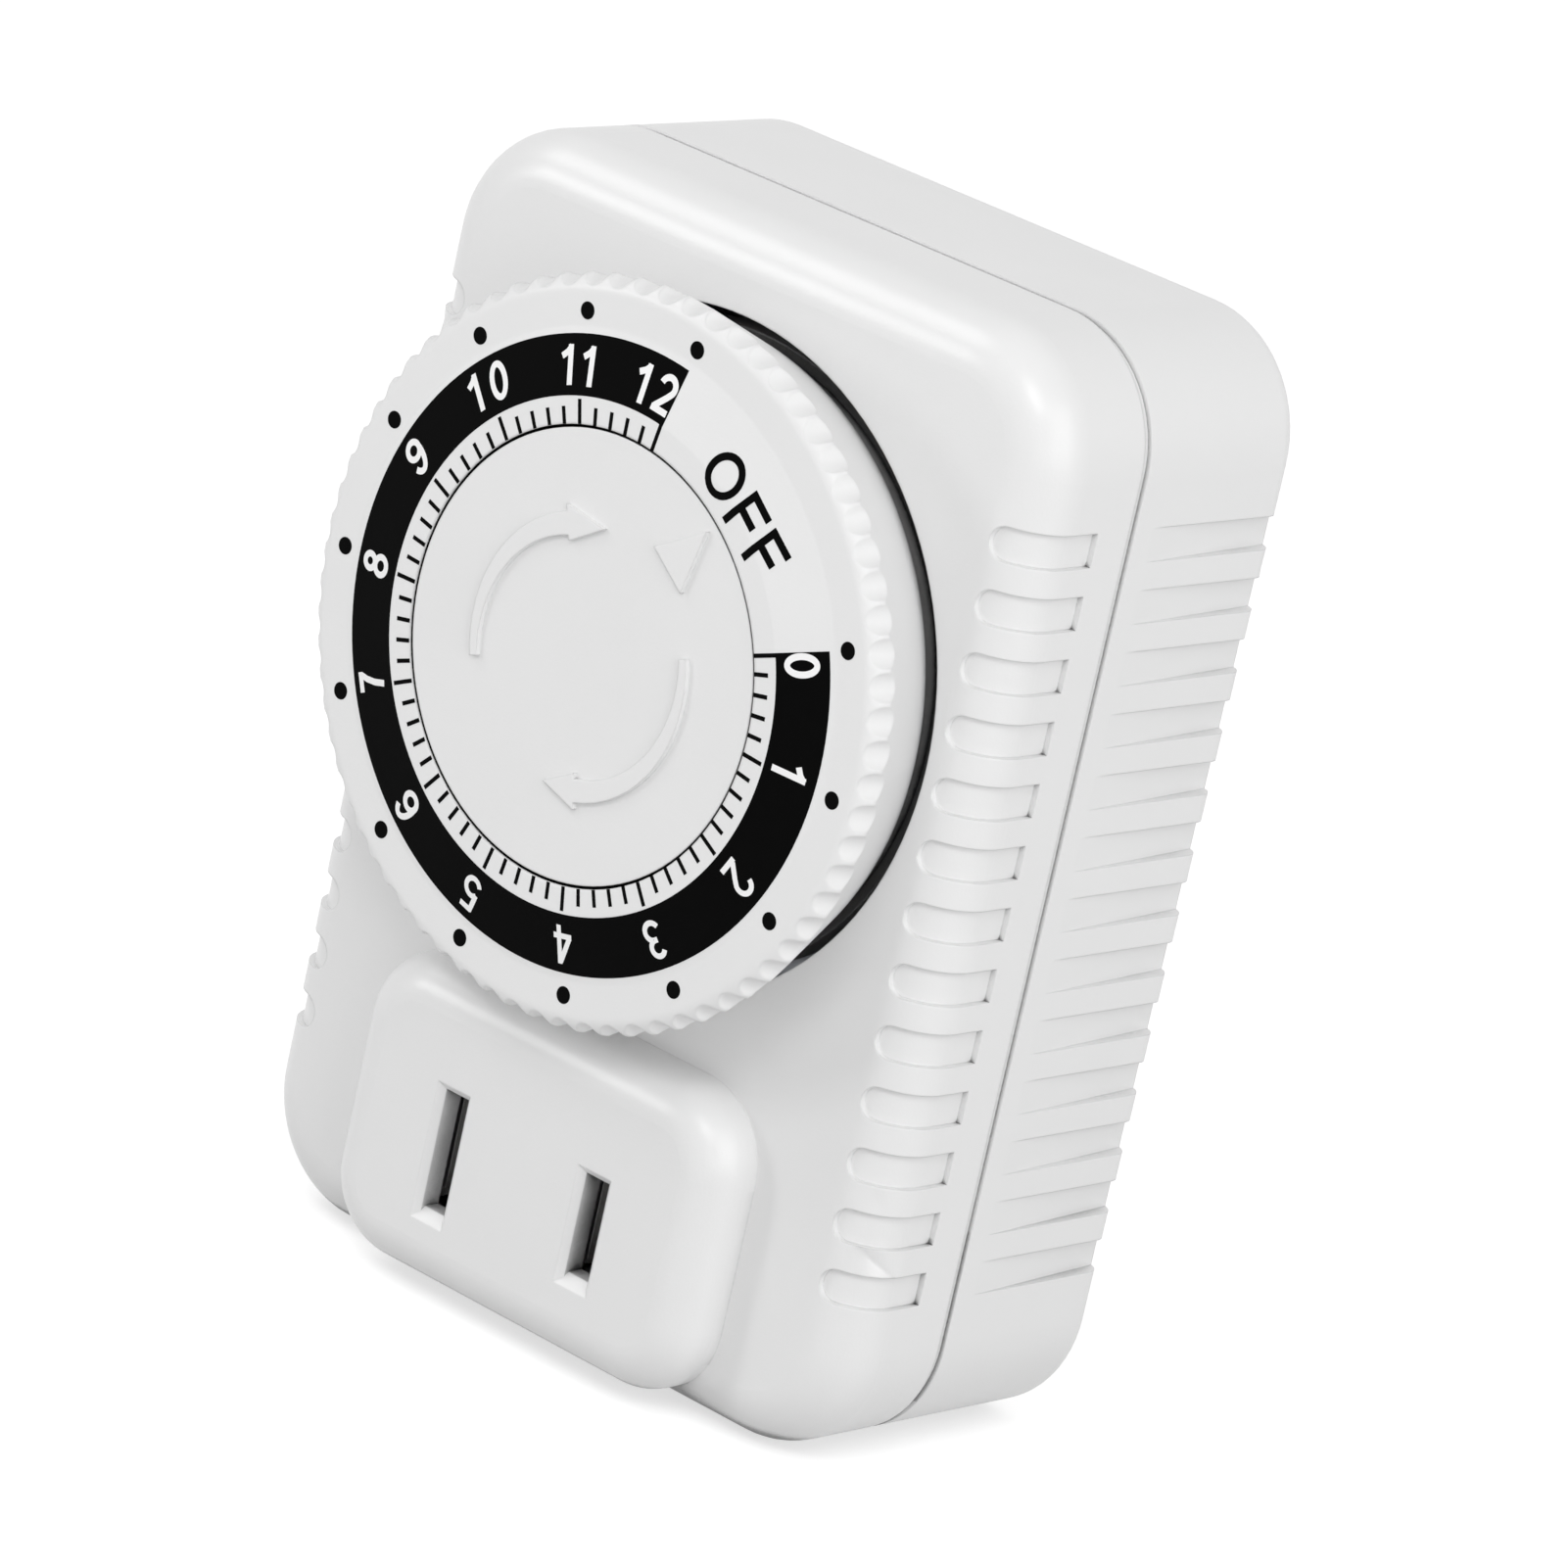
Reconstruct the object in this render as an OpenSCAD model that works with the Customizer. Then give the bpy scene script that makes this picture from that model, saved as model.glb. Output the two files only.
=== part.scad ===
// Twelve-hour plug-in timer switch with a turning dial, a two-slot outlet and two blades.
// Millimetres. Z is up, the front looks along -Y, and the origin lies on the wall face,
// half-way between the blades. "Depth" is a distance in front of the wall face.

/* [Case] */
// Width of the case
body_w = 52; // [51:0.5:60]
// Height of the case
body_h = 74; // [73:0.5:84]
// Depth of the front cover, from its face to the seam
front_depth = 9; // [8.6:0.2:10.4]
// Depth of the rear cover, from the seam to the wall face
rear_depth = 15; // [14.6:0.2:15.6]
// Wall thickness of both covers
wall = 2; // [1.6:0.1:2.2]
// Radius of the four long corners
corner_r = 8.2; // [7:0.2:9.4]
// Rounding of the front face's edge
edge_r = 3.6; // [2.6:0.2:4.4]
// Rounding of the rear face's edge
rear_edge_r = 1.2; // [0.6:0.1:1.6]
// Height of the outlet's centre above the underside
outlet_rise = 10; // [9.6:0.1:11]
// Width of the shadow groove along the seam
seam_w = 0.6; // [0.3:0.1:0.8]
// Depth of the shadow groove along the seam
seam_cut = 0.3; // [0.2:0.1:0.6]

/* [Side grips] */
// Grip recesses on each side
grip_count = 13; // [5:1:13]
// Distance from one grip recess to the next
grip_pitch = 4.06; // [3.6:0.02:4.2]
// Height of a grip recess
grip_h = 2.2; // [1.6:0.1:2.6]
// Depth of a grip recess in the front cover
grip_cut = 0.4; // [0.3:0.1:0.9]
// Depth of a grip recess in the rear cover, at the wall side
rear_grip_cut = 0.9; // [0.4:0.1:1]
// Top of the first recess above the dial's axis
grip_top = 16.2; // [14:0.2:18]
// How far the recesses run in from the side onto the front face
grip_wrap = 3.4; // [2.8:0.2:4]
// Gap from the front recesses to the seam
grip_front_gap = 3; // [2:0.1:4]
// Gap from the seam to the rear recesses
grip_rear_gap = 2.3; // [1.5:0.1:4]

/* [Dial] */
// Distance from the case's side to the dial's grip
dial_side_margin = 2.3; // [1.6:0.1:4]
// Distance from the case's top to the dial's grip
dial_top_margin = 4; // [3:0.1:6]
// Distance from the outlet block's top to the dial's grip
dial_block_gap = 0.9; // [0.5:0.1:2]
// How far the dial's face stands in front of the case
dial_proud = 7.7; // [7.4:0.1:9]
// Extra height of the raised middle of the dial's face
dial_crown = 0.7; // [0.3:0.1:1]
// Rounding of the dial's front edge
dial_edge_r = 1.2; // [0.8:0.1:1.6]
// Number of flutes round the dial
flute_count = 72; // [48:4:80]
// Depth of a flute
flute_cut = 0.5; // [0.25:0.05:0.6]
// Radius of a flute's hollow
flute_r = 1.05; // [0.9:0.05:1.2]
// Lean of the flutes towards the dial's face, in degrees
flute_lean = 15; // [5:1:20]
// How far the dial's grip reaches over the hole in the front cover
dial_overlap = 1.9; // [1.4:0.1:2]
// Gap between the foot of the dial's grip and the hole
dial_gap = 0.9; // [0.4:0.1:1]
// How far the dial's skirt steps in behind the foot of its grip
skirt_step = 1.1; // [0.5:0.1:1.2]
// Thickness of the dial's walls
dial_wall = 1.8; // [1.4:0.1:2]
// Width of the dial's ring, from the fixed disc to the grip
dial_ring_w = 9.5; // [9:0.1:10.5]
// Gap round the fixed disc
disc_gap = 0.2; // [0.15:0.05:0.35]
// Direction of the pointer, anticlockwise from three o'clock
pointer_dir = 54; // [0:1:120]
// Height of the raised pointer and arrows
mark_h = 0.35; // [0.2:0.05:0.5]

/* [Outlet] */
// Distance between the two slots and between the two blades
pin_pitch = 12.7; // [12.5:0.1:13]
// Half width of the raised outlet block
block_half_w = 16; // [15:0.5:17]
// Top of the outlet block above the slots' centre
block_up = 11.7; // [11.4:0.1:12.2]
// Bottom of the outlet block below the slots' centre
block_down = 9.1; // [8.6:0.1:9.2]
// How far the outlet block stands in front of the case
block_proud = 3.85; // [3.4:0.05:4.2]
// Corner radius of the outlet block
block_corner_r = 5.4; // [4:0.2:6]
// Rounding of the outlet block's front edge
block_edge_r = 3; // [2.2:0.1:3.4]
// Width of a slot
slot_w = 2; // [1.8:0.1:2.2]
// Height of the live slot
slot_h = 6.8; // [6.7:0.1:7.6]
// Height of the neutral slot, which takes the wide blade of a polarized plug
wide_slot_h = 8.1; // [8:0.1:8.4]
// Width of the bevel at the sides and the top of a slot's mouth
slot_bevel = 0.45; // [0.3:0.05:0.7]
// Width of the bevel at the foot of a slot's mouth
foot_bevel = 0.75; // [0.4:0.05:0.9]

/* [Blades] */
// Height of the live blade
blade_h = 6.3; // [6:0.1:6.6]
// Height of the neutral blade
wide_blade_h = 7.9; // [7.8:0.05:8]
// Thickness of a blade
blade_t = 1.5; // [1.4:0.05:1.6]
// Length of a blade behind the wall face
blade_len = 17; // [15.9:0.1:18.3]
// Radius of the hole near a blade's tip
blade_hole_r = 1.6; // [1.4:0.1:2]

/* [Gear train] */
// Teeth of each pinion
pinion_teeth = 10; // [9:1:12]
// Teeth of the first wheel
first_teeth = 40; // [36:1:42]
// Teeth of the second wheel
second_teeth = 60; // [54:1:60]
// Teeth of the main wheel
main_teeth = 60; // [56:1:60]
// Distance from the cam's edge in to the main wheel's pitch circle
main_inset = 5.5; // [5.4:0.1:7]
// Difference between the pitch radii of the main and the second wheel
wheel_step_r = 4.5; // [4.4:0.1:5]
// Thickness of a wheel
wheel_t = 0.9; // [0.7:0.1:0.9]
// Amount each tooth is thinned for free running
backlash = 0.06; // [0.04:0.01:0.1]
// How far the motor's can reaches past the main wheel's pitch circle
motor_reach = 2.5; // [0:0.1:2.6]
// Gap from the case's rear wall to the motor's can
motor_rear_gap = 0.3; // [0.3:0.1:1.5]

/* [Switch] */
// Distance from the foot of the dial's grip in to the cam's edge
cam_inset = 0.4; // [0.3:0.1:1.2]
// Depth of the cam's notch
notch_cut = 1.4; // [1:0.1:1.8]
// Thickness of the moving contact leaf
leaf_t = 0.3; // [0.25:0.05:0.4]
// Open gap between the contacts
contact_gap = 1.4; // [1:0.1:1.6]
// Thickness of the brass strips
strip_t = 0.6; // [0.5:0.1:0.7]

/* [Hidden] */
$fn = 96;
bite = 1;                 // how far a cutter runs past what it cuts
run_gap = 0.05;           // radial gap of a shaft that turns
seat_gap = 0.1;           // gap round a fixed piece in its slot

// Case
body_depth = rear_depth + front_depth;
case_top = body_h - outlet_rise;
case_mid_z = case_top - body_h / 2;
block_face = body_depth + block_proud;
boss_inset = 6.8;
boss_x = body_w / 2 - boss_inset;
boss_r = 3.2;
boss_places = [for (sx = [-1, 1], sz = [-1, 1])
    [sx * boss_x, case_mid_z + sz * (body_h / 2 - boss_inset)]];
lip_t = wall / 2 - seat_gap;
lip_h = 1.2;

// Case screws
screw_r = 1.25;
screw_head_r = 2.3;
screw_head_t = 1.7;
screw_seat = 9;           // depth of the counterbore
screw_len = 11;

// Dial
dial_room = case_top - dial_top_margin - block_up - dial_block_gap;
dial_r = min(body_w / 2 - dial_side_margin, dial_room / 2);
dial_z = block_up + dial_block_gap + dial_r;
dial_hole_r = dial_r - dial_overlap;
disc_r = dial_r - dial_ring_w;
dial_face = body_depth + dial_proud;
crown_face = dial_face + dial_crown;
grip_foot_r = dial_hole_r - dial_gap;
skirt_r = grip_foot_r - skirt_step;
skirt_rear = body_depth - wall - 0.3;
hub_r = 4;                // outside of the main wheel's tube
dial_floor = dial_face - 3;
dial_hub_r = 7;
band_in_r = disc_r + 1.9; // inner and outer radius of the sloping printed band
band_out_r = dial_r - 3.3;
disc_t = 1.6;
disc_face = crown_face - 0.1;
post_r = 2;
post_top = disc_face - 1;
flat_cut = 0.5;           // flat on the post that keeps the disc from turning

// Places along the depth: the movement stands on the rear cover, the switch in front of it
plate_t = 1;
rear_plate = rear_depth - 3;      // rear face of the rear plate
front_plate = rear_plate + plate_t + 4.5;
plate_front_face = front_plate + plate_t;
wheel_step = wheel_t + 0.5;
tier_1 = rear_plate + plate_t + 0.4;
tier_2 = tier_1 + wheel_step;
tier_3 = tier_2 + wheel_step;
leaf_depths = [plate_front_face + 0.4, body_depth - wall - 0.5];
leaf_mid_depth = (leaf_depths[0] + leaf_depths[1]) / 2;

// Switch: the cam inside the dial's skirt sets the height of the leaf and the contacts
cam_r = grip_foot_r - cam_inset;
cam_ring_t = 3;
cam_rear = plate_front_face + 0.5;
notch_half_angle = 12;
rivet_x = -4.5;
rivet_r = (leaf_depths[1] - leaf_depths[0]) / 2;
rivet_head_t = 0.5;
rivet_shank_r = 0.7;
moving_head_t = 0.7;
fixed_head_t = 0.6;
nose_half_w = 2.2;
nose_tip = dial_z - cam_r + notch_cut - 0.1;
leaf_z = dial_z - cam_r - 1.4;
fixed_top = leaf_z - leaf_t / 2 - moving_head_t - contact_gap;
shelf_top = fixed_top - fixed_head_t;
shelf_t = 2.4;

// Conductors
slot_x = pin_pitch / 2;
clip_rear = rear_depth - 4.9;
clip_front = block_face - 3.2;
clip_t = 0.5;
clip_half_w = 1.25;
clip_half_h = 3.4;
strip_half_h = 3;
strip_tab_half_w = clip_half_w + 0.25;
line_wall_x = boss_x - boss_r - strip_t - 1.2;    // inner face of the live strip's side
foot_out = line_wall_x - 1.2;
tab_in = foot_out - 4;
riser_x = -slot_x - clip_half_w - 1.1;            // rise of the neutral strip
leaf_tail_x = line_wall_x + strip_t;
leaf_tail_z = leaf_z - 7.9;
anchor_z = leaf_tail_z + 2;

// Gear train: places of the arbors, from the dial's axis to the motor's pinion
function along(dir, distance) = distance * [cos(dir), sin(dir)];
function centre_distance(teeth, module_size) = module_size * (teeth + pinion_teeth) / 2;
function tip_radius(teeth, module_size) = module_size * (teeth / 2 + wheel_addendum);
wheel_addendum = 0.6;     // heights of the teeth, in modules
wheel_dedendum = 1.25;
pinion_addendum = 1;
pinion_dedendum = 0.9;
main_pitch_r = cam_r - main_inset;
main_module = 2 * main_pitch_r / main_teeth;
train_module = 2 * (main_pitch_r - wheel_step_r) / second_teeth;
main_at = [0, dial_z];
second_dir = 228.9;
second_at = main_at + along(second_dir, centre_distance(main_teeth, main_module));
first_z = shelf_top + 0.75 + tip_radius(first_teeth, train_module);
first_dir = asin((first_z - second_at[1]) / centre_distance(second_teeth, train_module));
first_at = second_at + along(first_dir, centre_distance(second_teeth, train_module));
drive_dir = 90;
drive_at = first_at + along(drive_dir, centre_distance(first_teeth, train_module));
arbor_r = 0.8;
pivot_r = 0.5;
tube_rear = rear_plate + plate_t + 1;
tube_front = dial_floor - 1.2;
collar_r = 6.5;
collar_t = 1;
collar_rear = plate_front_face + 0.5;
spring_t = 0.3;

// Plates and their pillars, which stand clear of the second wheel and the case's bosses
plate_half_w = body_w / 2 - wall - 0.7;
plate_high = case_top - boss_inset - boss_r - 1;
pillar_r = 1.8;
pillar_x = plate_half_w - 2;
pillar_high = plate_high - 2.5;
pillar_reach = tip_radius(second_teeth, train_module) + pillar_r + 0.5;
pillar_side = min(pillar_reach, pillar_x + second_at[0]);
pillar_low = min(second_at[1] - sqrt(pow(pillar_reach, 2) - pow(pillar_side, 2)),
                 first_z - 4.5);
plate_low = pillar_low - 2.3;
pillar_places = [for (sx = [-1, 1], z = [pillar_low, pillar_high]) [sx * pillar_x, z]];
plate_screw_r = 0.95;
plate_screw_head_r = 1.8;
plate_screw_head_t = 1;
plate_screw_len = 12.5;

// Motor
motor_r = main_pitch_r + motor_reach;
motor_at = [0, drive_at[1] + 0.45 * main_pitch_r];
motor_flange_t = 0.6;
motor_front = rear_plate;
motor_rear = wall + motor_rear_gap;
motor_ear_r = 2.6;
motor_ear_x = motor_r + 2.3;
motor_boss_r = 3;
motor_screw_r = 0.9;
motor_shaft_r = 0.9;
terminal_half_w = 6;
terminal_low = motor_at[1] - motor_r - 3.3;
terminal_depths = [motor_rear + 2.2, clip_rear - strip_t - 0.5];
terminal_x = 3.5;
pin_drop = 1.6;
pin_depth = terminal_depths[1] - 1.7;
lead_bend_z = (terminal_low - pin_drop + strip_half_h) / 2;
wire_r = 0.55;

white_plastic = [0.90, 0.90, 0.89];
steel = [0.70, 0.71, 0.73];
brass_tone = [0.80, 0.65, 0.35];
silver = [0.83, 0.83, 0.85];

// ---- Placing -------------------------------------------------------------

// Extrudes a front view (x, z) between two depths.
module layer(rear, front) {
    translate([0, -rear, 0]) rotate([90, 0, 0]) linear_extrude(front - rear) children();
}

// Extrudes a plan view (x, depth) between two heights.
module storey(low, high) {
    translate([0, 0, low]) mirror([0, 1, 0]) linear_extrude(high - low) children();
}

// Extrudes a side view (depth, z) between two places along X.
module slice(left, right) {
    translate([right, 0, 0]) rotate([90, 0, -90]) linear_extrude(right - left) children();
}

// Revolves a section (radius, depth) round an axis that runs front to back.
module turned(at) {
    translate([at[0], 0, at[1]]) rotate([90, 0, 0]) rotate_extrude() children();
}

// A round bar that runs front to back.
module rod(at, r, rear, front) {
    translate([at[0], -rear, at[1]]) rotate([90, 0, 0]) cylinder(r = r, h = front - rear);
}

module both_sides() {
    children();
    mirror([1, 0, 0]) children();
}

// ---- Outlines ------------------------------------------------------------

module quarter_disc(r) {
    intersection() {
        circle(r = r);
        square(r);
    }
}

module rounded_rect(w, h, r) {
    square([w - 2 * r, h], center = true);
    square([w, h - 2 * r], center = true);
    for (sx = [0, 1], sy = [0, 1])
        mirror([sx, 0]) mirror([0, sy])
            translate([w / 2 - r, h / 2 - r]) quarter_disc(r);
}

// Half section of a block's rim: the outer top corner is rounded.
module rim_section(reach, high, r) {
    square([reach, high - r]);
    square([reach - r, high]);
    translate([reach - r, high - r]) quarter_disc(r);
}

module full_section(reach, high, r) {
    rim_section(reach, high, r);
    mirror([1, 0]) rim_section(reach, high, r);
}

// A block with rounded long corners (corner) and a rounded front edge (edge), made of
// four turned corners and two crossing slabs of one section. Stands on z = 0.
module soft_block(w, h, high, corner, edge) {
    for (k = [0, 1], m = [0, 1])
        mirror([k, 0, 0]) mirror([0, m, 0])
            translate([w / 2 - corner, h / 2 - corner, 0])
                rotate_extrude(angle = 90) rim_section(corner, high, edge);
    translate([0, h / 2 - corner, 0]) rotate([90, 0, 0])
        linear_extrude(h - 2 * corner) full_section(w / 2, high, edge);
    translate([-(w / 2 - corner), 0, 0]) rotate([90, 0, 90])
        linear_extrude(w - 2 * corner) full_section(h / 2, high, edge);
}

// The same block lying in the case: its foot at one depth, its rounded face at another.
module case_block(inset, rear, front, edge) {
    translate([0, -rear, case_mid_z]) rotate([90, 0, 0])
        soft_block(body_w - 2 * inset, body_h - 2 * inset, front - rear,
                   corner_r - inset, edge);
}

// A block whose rounded face looks at the wall.
module case_block_back(inset, rear, front, edge) {
    translate([0, -front, case_mid_z]) rotate([-90, 0, 0])
        soft_block(body_w - 2 * inset, body_h - 2 * inset, front - rear,
                   corner_r - inset, edge);
}

// ---- Bent strip ----------------------------------------------------------

function unit(v) = v / norm(v);
function left_of(v) = [-v[1], v[0]];
function strip_side(path, i) =
    let (before = left_of(unit(path[max(i, 1)] - path[max(i, 1) - 1])),
         last = len(path) - 1,
         after = left_of(unit(path[min(i + 1, last)] - path[min(i + 1, last) - 1])))
    (before + after) / (1 + before * after);

// Outline of a strip of thickness t bent along the middle line path.
module bent_strip(path, t) {
    last = len(path) - 1;
    near = [for (i = [0:last]) path[i] + strip_side(path, i) * t / 2];
    far = [for (i = [0:last]) path[last - i] - strip_side(path, last - i) * t / 2];
    polygon(concat(near, far));
}

// ---- Teeth ---------------------------------------------------------------

pressure_angle = 20;
function involute(angle) = tan(angle) * 180 / PI - angle;

// Half the angle that a tooth covers at radius r; below the base circle the flank is radial.
function half_tooth(teeth, module_size, r) =
    let (pitch_r = teeth * module_size / 2,
         base_r = pitch_r * cos(pressure_angle),
         at_pitch = 90 / teeth - backlash / (2 * pitch_r) * 180 / PI,
         tilt = acos(min(1, base_r / max(r, base_r))))
    at_pitch + involute(pressure_angle) - involute(tilt);

// Outline of a gear: one tooth points along dir.
module gear_outline(teeth, module_size, addendum, dedendum, dir) {
    pitch_r = teeth * module_size / 2;
    radii = [pitch_r - dedendum * module_size, pitch_r, pitch_r + addendum * module_size];
    polygon([for (k = [0:teeth - 1])
        let (middle = dir + k * 360 / teeth)
        each concat(
            [for (r = radii) along(middle - half_tooth(teeth, module_size, r), r)],
            [for (i = [2:-1:0])
                along(middle + half_tooth(teeth, module_size, radii[i]), radii[i])])]);
}

// Wheels have short tips and pinions have long ones, so small pinions need no undercut.
module wheel_outline(teeth, module_size, dir) {
    gear_outline(teeth, module_size, wheel_addendum, wheel_dedendum, dir);
}

module pinion_outline(module_size, mate_dir) {
    gear_outline(pinion_teeth, module_size, pinion_addendum, pinion_dedendum,
                 mate_dir + 180 / pinion_teeth);
}

// ---- Covers --------------------------------------------------------------

function grip_mid(i) = dial_z + grip_top - grip_h / 2 - i * grip_pitch;

// Front view of the grip recesses of one side, with round inner ends.
module grip_plan() {
    inner_x = body_w / 2 - grip_wrap + grip_h / 2;
    for (i = [0:grip_count - 1])
        translate([inner_x, grip_mid(i)]) {
            circle(r = grip_h / 2);
            translate([0, -grip_h / 2]) square([grip_wrap + bite, grip_h]);
        }
}

module front_grips() {
    difference() {
        layer(rear_depth + grip_front_gap, body_depth + bite) grip_plan();
        case_block(grip_cut, rear_depth, body_depth - grip_cut, edge_r - grip_cut);
    }
}

// Recesses of one side that deepen from the surface near the seam to the wall side.
module rear_grips() {
    side_x = body_w / 2;
    start = -(rear_depth - grip_rear_gap);
    for (i = [0:grip_count - 1])
        translate([0, 0, grip_mid(i) - grip_h / 2]) linear_extrude(grip_h)
            polygon([[side_x, start], [side_x + bite, start], [side_x + bite, bite],
                     [side_x - rear_grip_cut, bite], [side_x - rear_grip_cut, 0]]);
}

module outlet_block(inset, rear, front, edge) {
    translate([0, -rear, (block_up - block_down) / 2]) rotate([90, 0, 0])
        soft_block(2 * (block_half_w - inset), block_up + block_down - 2 * inset,
                   front - rear, block_corner_r - inset, edge);
}

// A slot through the outlet's face with a bevelled mouth: its plan crossed with its side view.
module slot_cut(tall) {
    deep = block_face - wall - bite;
    clear = block_face + bite;
    side = slot_w / 2;
    wide = side + slot_bevel;
    end = tall / 2;
    top = end + slot_bevel;
    foot = -end - foot_bevel;
    intersection() {
        storey(-tall, tall)
            polygon([[-side, deep], [side, deep], [side, block_face - slot_bevel],
                     [wide, block_face], [wide, clear], [-wide, clear], [-wide, block_face],
                     [-side, block_face - slot_bevel]]);
        slice(-slot_w, slot_w)
            polygon([[deep, -end], [deep, end], [block_face - slot_bevel, end],
                     [block_face, top], [clear, top], [clear, foot], [block_face, foot],
                     [block_face - foot_bevel, -end]]);
    }
}

// Ribs behind the outlet's face: one between the clips and one outside each of them.
module clip_ribs() {
    rib_t = 1;
    rib_half_h = clip_half_h + 1;
    rib_rear = rear_depth + 0.6;
    outer_x = slot_x + clip_half_w + 1.3;
    for (x = [-outer_x - rib_t, -rib_t / 2, outer_x])
        translate([x, -(block_face - wall), -rib_half_h])
            cube([rib_t, block_face - wall - rib_rear, 2 * rib_half_h]);
}

// Ledge under the fixed contact's arm.
module contact_shelf() {
    translate([rivet_x - 2, -(body_depth - wall), shelf_top - strip_t - shelf_t])
        cube([4.5, body_depth - wall - leaf_depths[0], shelf_t]);
}

module front_cover() {
    color(white_plastic)
    difference() {
        union() {
            difference() {
                union() {
                    case_block(0, rear_depth, body_depth, edge_r);
                    outlet_block(0, body_depth - wall, block_face, block_edge_r);
                }
                case_block(wall, rear_depth - bite, body_depth - wall, edge_r - wall);
                outlet_block(wall, body_depth - wall - bite, block_face - wall,
                             block_edge_r - wall);
                layer(rear_depth - bite, rear_depth + lip_h + seat_gap)
                    translate([0, case_mid_z])
                        rounded_rect(body_w - wall, body_h - wall, corner_r - wall / 2);
            }
            for (at = boss_places) rod(at, boss_r, rear_depth, body_depth - wall / 2);
            clip_ribs();
            contact_shelf();
        }
        rod(main_at, dial_hole_r, body_depth - wall - bite, body_depth + bite);
        both_sides() front_grips();
        for (at = boss_places) rod(at, screw_r, rear_depth - bite, body_depth - wall);
        translate([slot_x, 0, 0]) slot_cut(slot_h);
        translate([-slot_x, 0, 0]) slot_cut(wide_slot_h);
        translate([rivet_x, -leaf_mid_depth, shelf_top - strip_t - shelf_t - bite])
            cylinder(r = rivet_r + 0.2, h = shelf_t + 2 * bite);
    }
}

// Posts that carry the movement, each with a rib out to the side wall.
module movement_post(at) {
    rib_t = 1.4;
    wall_x = body_w / 2 - wall;
    rod(at, pillar_r + 0.5, wall / 2, rear_plate);
    side = sign(at[0]);
    translate([side > 0 ? at[0] : -wall_x - wall / 2, -rear_plate, at[1] - rib_t / 2])
        cube([wall_x + wall / 2 - abs(at[0]), rear_plate - wall / 2, rib_t]);
}

// Stops that hold the clips' bases against the push of a plug.
module clip_stop() {
    stop_w = 1.9;
    stop_half_h = 2.4;
    translate([slot_x - clip_half_w - stop_w + 0.2, -(clip_rear - strip_t), -stop_half_h])
        cube([stop_w - 0.1, clip_rear - strip_t - wall / 2, 2 * stop_half_h]);
}

module blade_hole(x, tall) {
    layer(-bite, wall + bite) translate([x, 0])
        square([blade_t + 2 * seat_gap, tall + 2 * seat_gap], center = true);
}

module rear_cover() {
    color(white_plastic)
    difference() {
        union() {
            difference() {
                union() {
                    case_block_back(0, 0, rear_depth - seam_w, rear_edge_r);
                    layer(rear_depth - seam_w, rear_depth) translate([0, case_mid_z])
                        rounded_rect(body_w - 2 * seam_cut, body_h - 2 * seam_cut,
                                     corner_r - seam_cut);
                    layer(rear_depth, rear_depth + lip_h) translate([0, case_mid_z])
                        rounded_rect(body_w - wall - 2 * seat_gap,
                                     body_h - wall - 2 * seat_gap,
                                     corner_r - wall / 2 - seat_gap);
                }
                layer(wall, rear_depth + lip_h + bite) translate([0, case_mid_z])
                    rounded_rect(body_w - 2 * wall, body_h - 2 * wall, corner_r - wall);
            }
            for (at = boss_places) rod(at, boss_r, wall / 2, rear_depth);
            for (at = pillar_places) movement_post(at);
            both_sides() clip_stop();
        }
        both_sides() rear_grips();
        for (at = boss_places) {
            rod(at, screw_head_r + 0.2, -bite, screw_seat);
            rod(at, screw_r + 0.2, screw_seat - bite, rear_depth + bite);
        }
        for (at = pillar_places)
            rod(at, plate_screw_r, plate_front_face - plate_screw_len - 0.5,
                rear_plate + bite);
        blade_hole(slot_x, blade_h);
        blade_hole(-slot_x, wide_blade_h);
    }
}

// Screws that close the case, driven from the wall side, with crossed slots.
module case_screws() {
    color(steel)
    for (at = boss_places) difference() {
        union() {
            rod(at, screw_head_r, screw_seat - screw_head_t, screw_seat);
            rod(at, screw_r, screw_seat, screw_seat + screw_len);
        }
        for (turn = [0, 90]) translate([at[0], 0, at[1]]) rotate([0, turn, 0])
            layer(screw_seat - screw_head_t - bite, screw_seat - screw_head_t + 0.9)
                square([2.8, 0.6], center = true);
    }
}

// ---- Dial ----------------------------------------------------------------

// Half section (radius, depth) of the dial: a conical skirt under a crowned face.
module dial_section() {
    grip_front = dial_face - dial_edge_r;
    roof = dial_face - dial_wall;
    well_r = disc_r + disc_gap;
    lip_out_r = well_r + dial_wall - 0.2;
    floor_rear = dial_floor - 1.6;
    skirt_in = skirt_r - dial_wall;
    step_front = body_depth + 0.4;
    polygon([
        [skirt_r, skirt_rear], [skirt_r, body_depth], [grip_foot_r, body_depth],
        [dial_r, grip_front],
        [dial_r - dial_edge_r, grip_front], [dial_r - dial_edge_r, dial_face],
        [band_out_r, dial_face], [band_in_r, crown_face], [well_r, crown_face],
        [well_r, dial_floor], [hub_r + run_gap, dial_floor],
        [hub_r + run_gap, body_depth - wall + 0.05], [dial_hub_r, body_depth - wall + 0.05],
        [dial_hub_r, floor_rear], [lip_out_r, floor_rear], [lip_out_r, roof],
        [dial_r - dial_edge_r - dial_wall / 2, roof], [skirt_in, step_front],
        [skirt_in, skirt_rear]]);
    translate([dial_r - dial_edge_r, grip_front]) quarter_disc(dial_edge_r);
}

// Hollows round the dial's grip. They lean in with its rounded edge, so they also show in front.
module flutes() {
    translate([main_at[0], 0, main_at[1]])
        for (i = [0:flute_count - 1])
            rotate([0, -i * 360 / flute_count, 0])
                translate([dial_r - flute_cut + flute_r / cos(flute_lean),
                           dial_edge_r - dial_face, 0])
                    rotate([90, 0, -flute_lean])
                        cylinder(h = dial_proud, r = flute_r, center = true);
}

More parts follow.
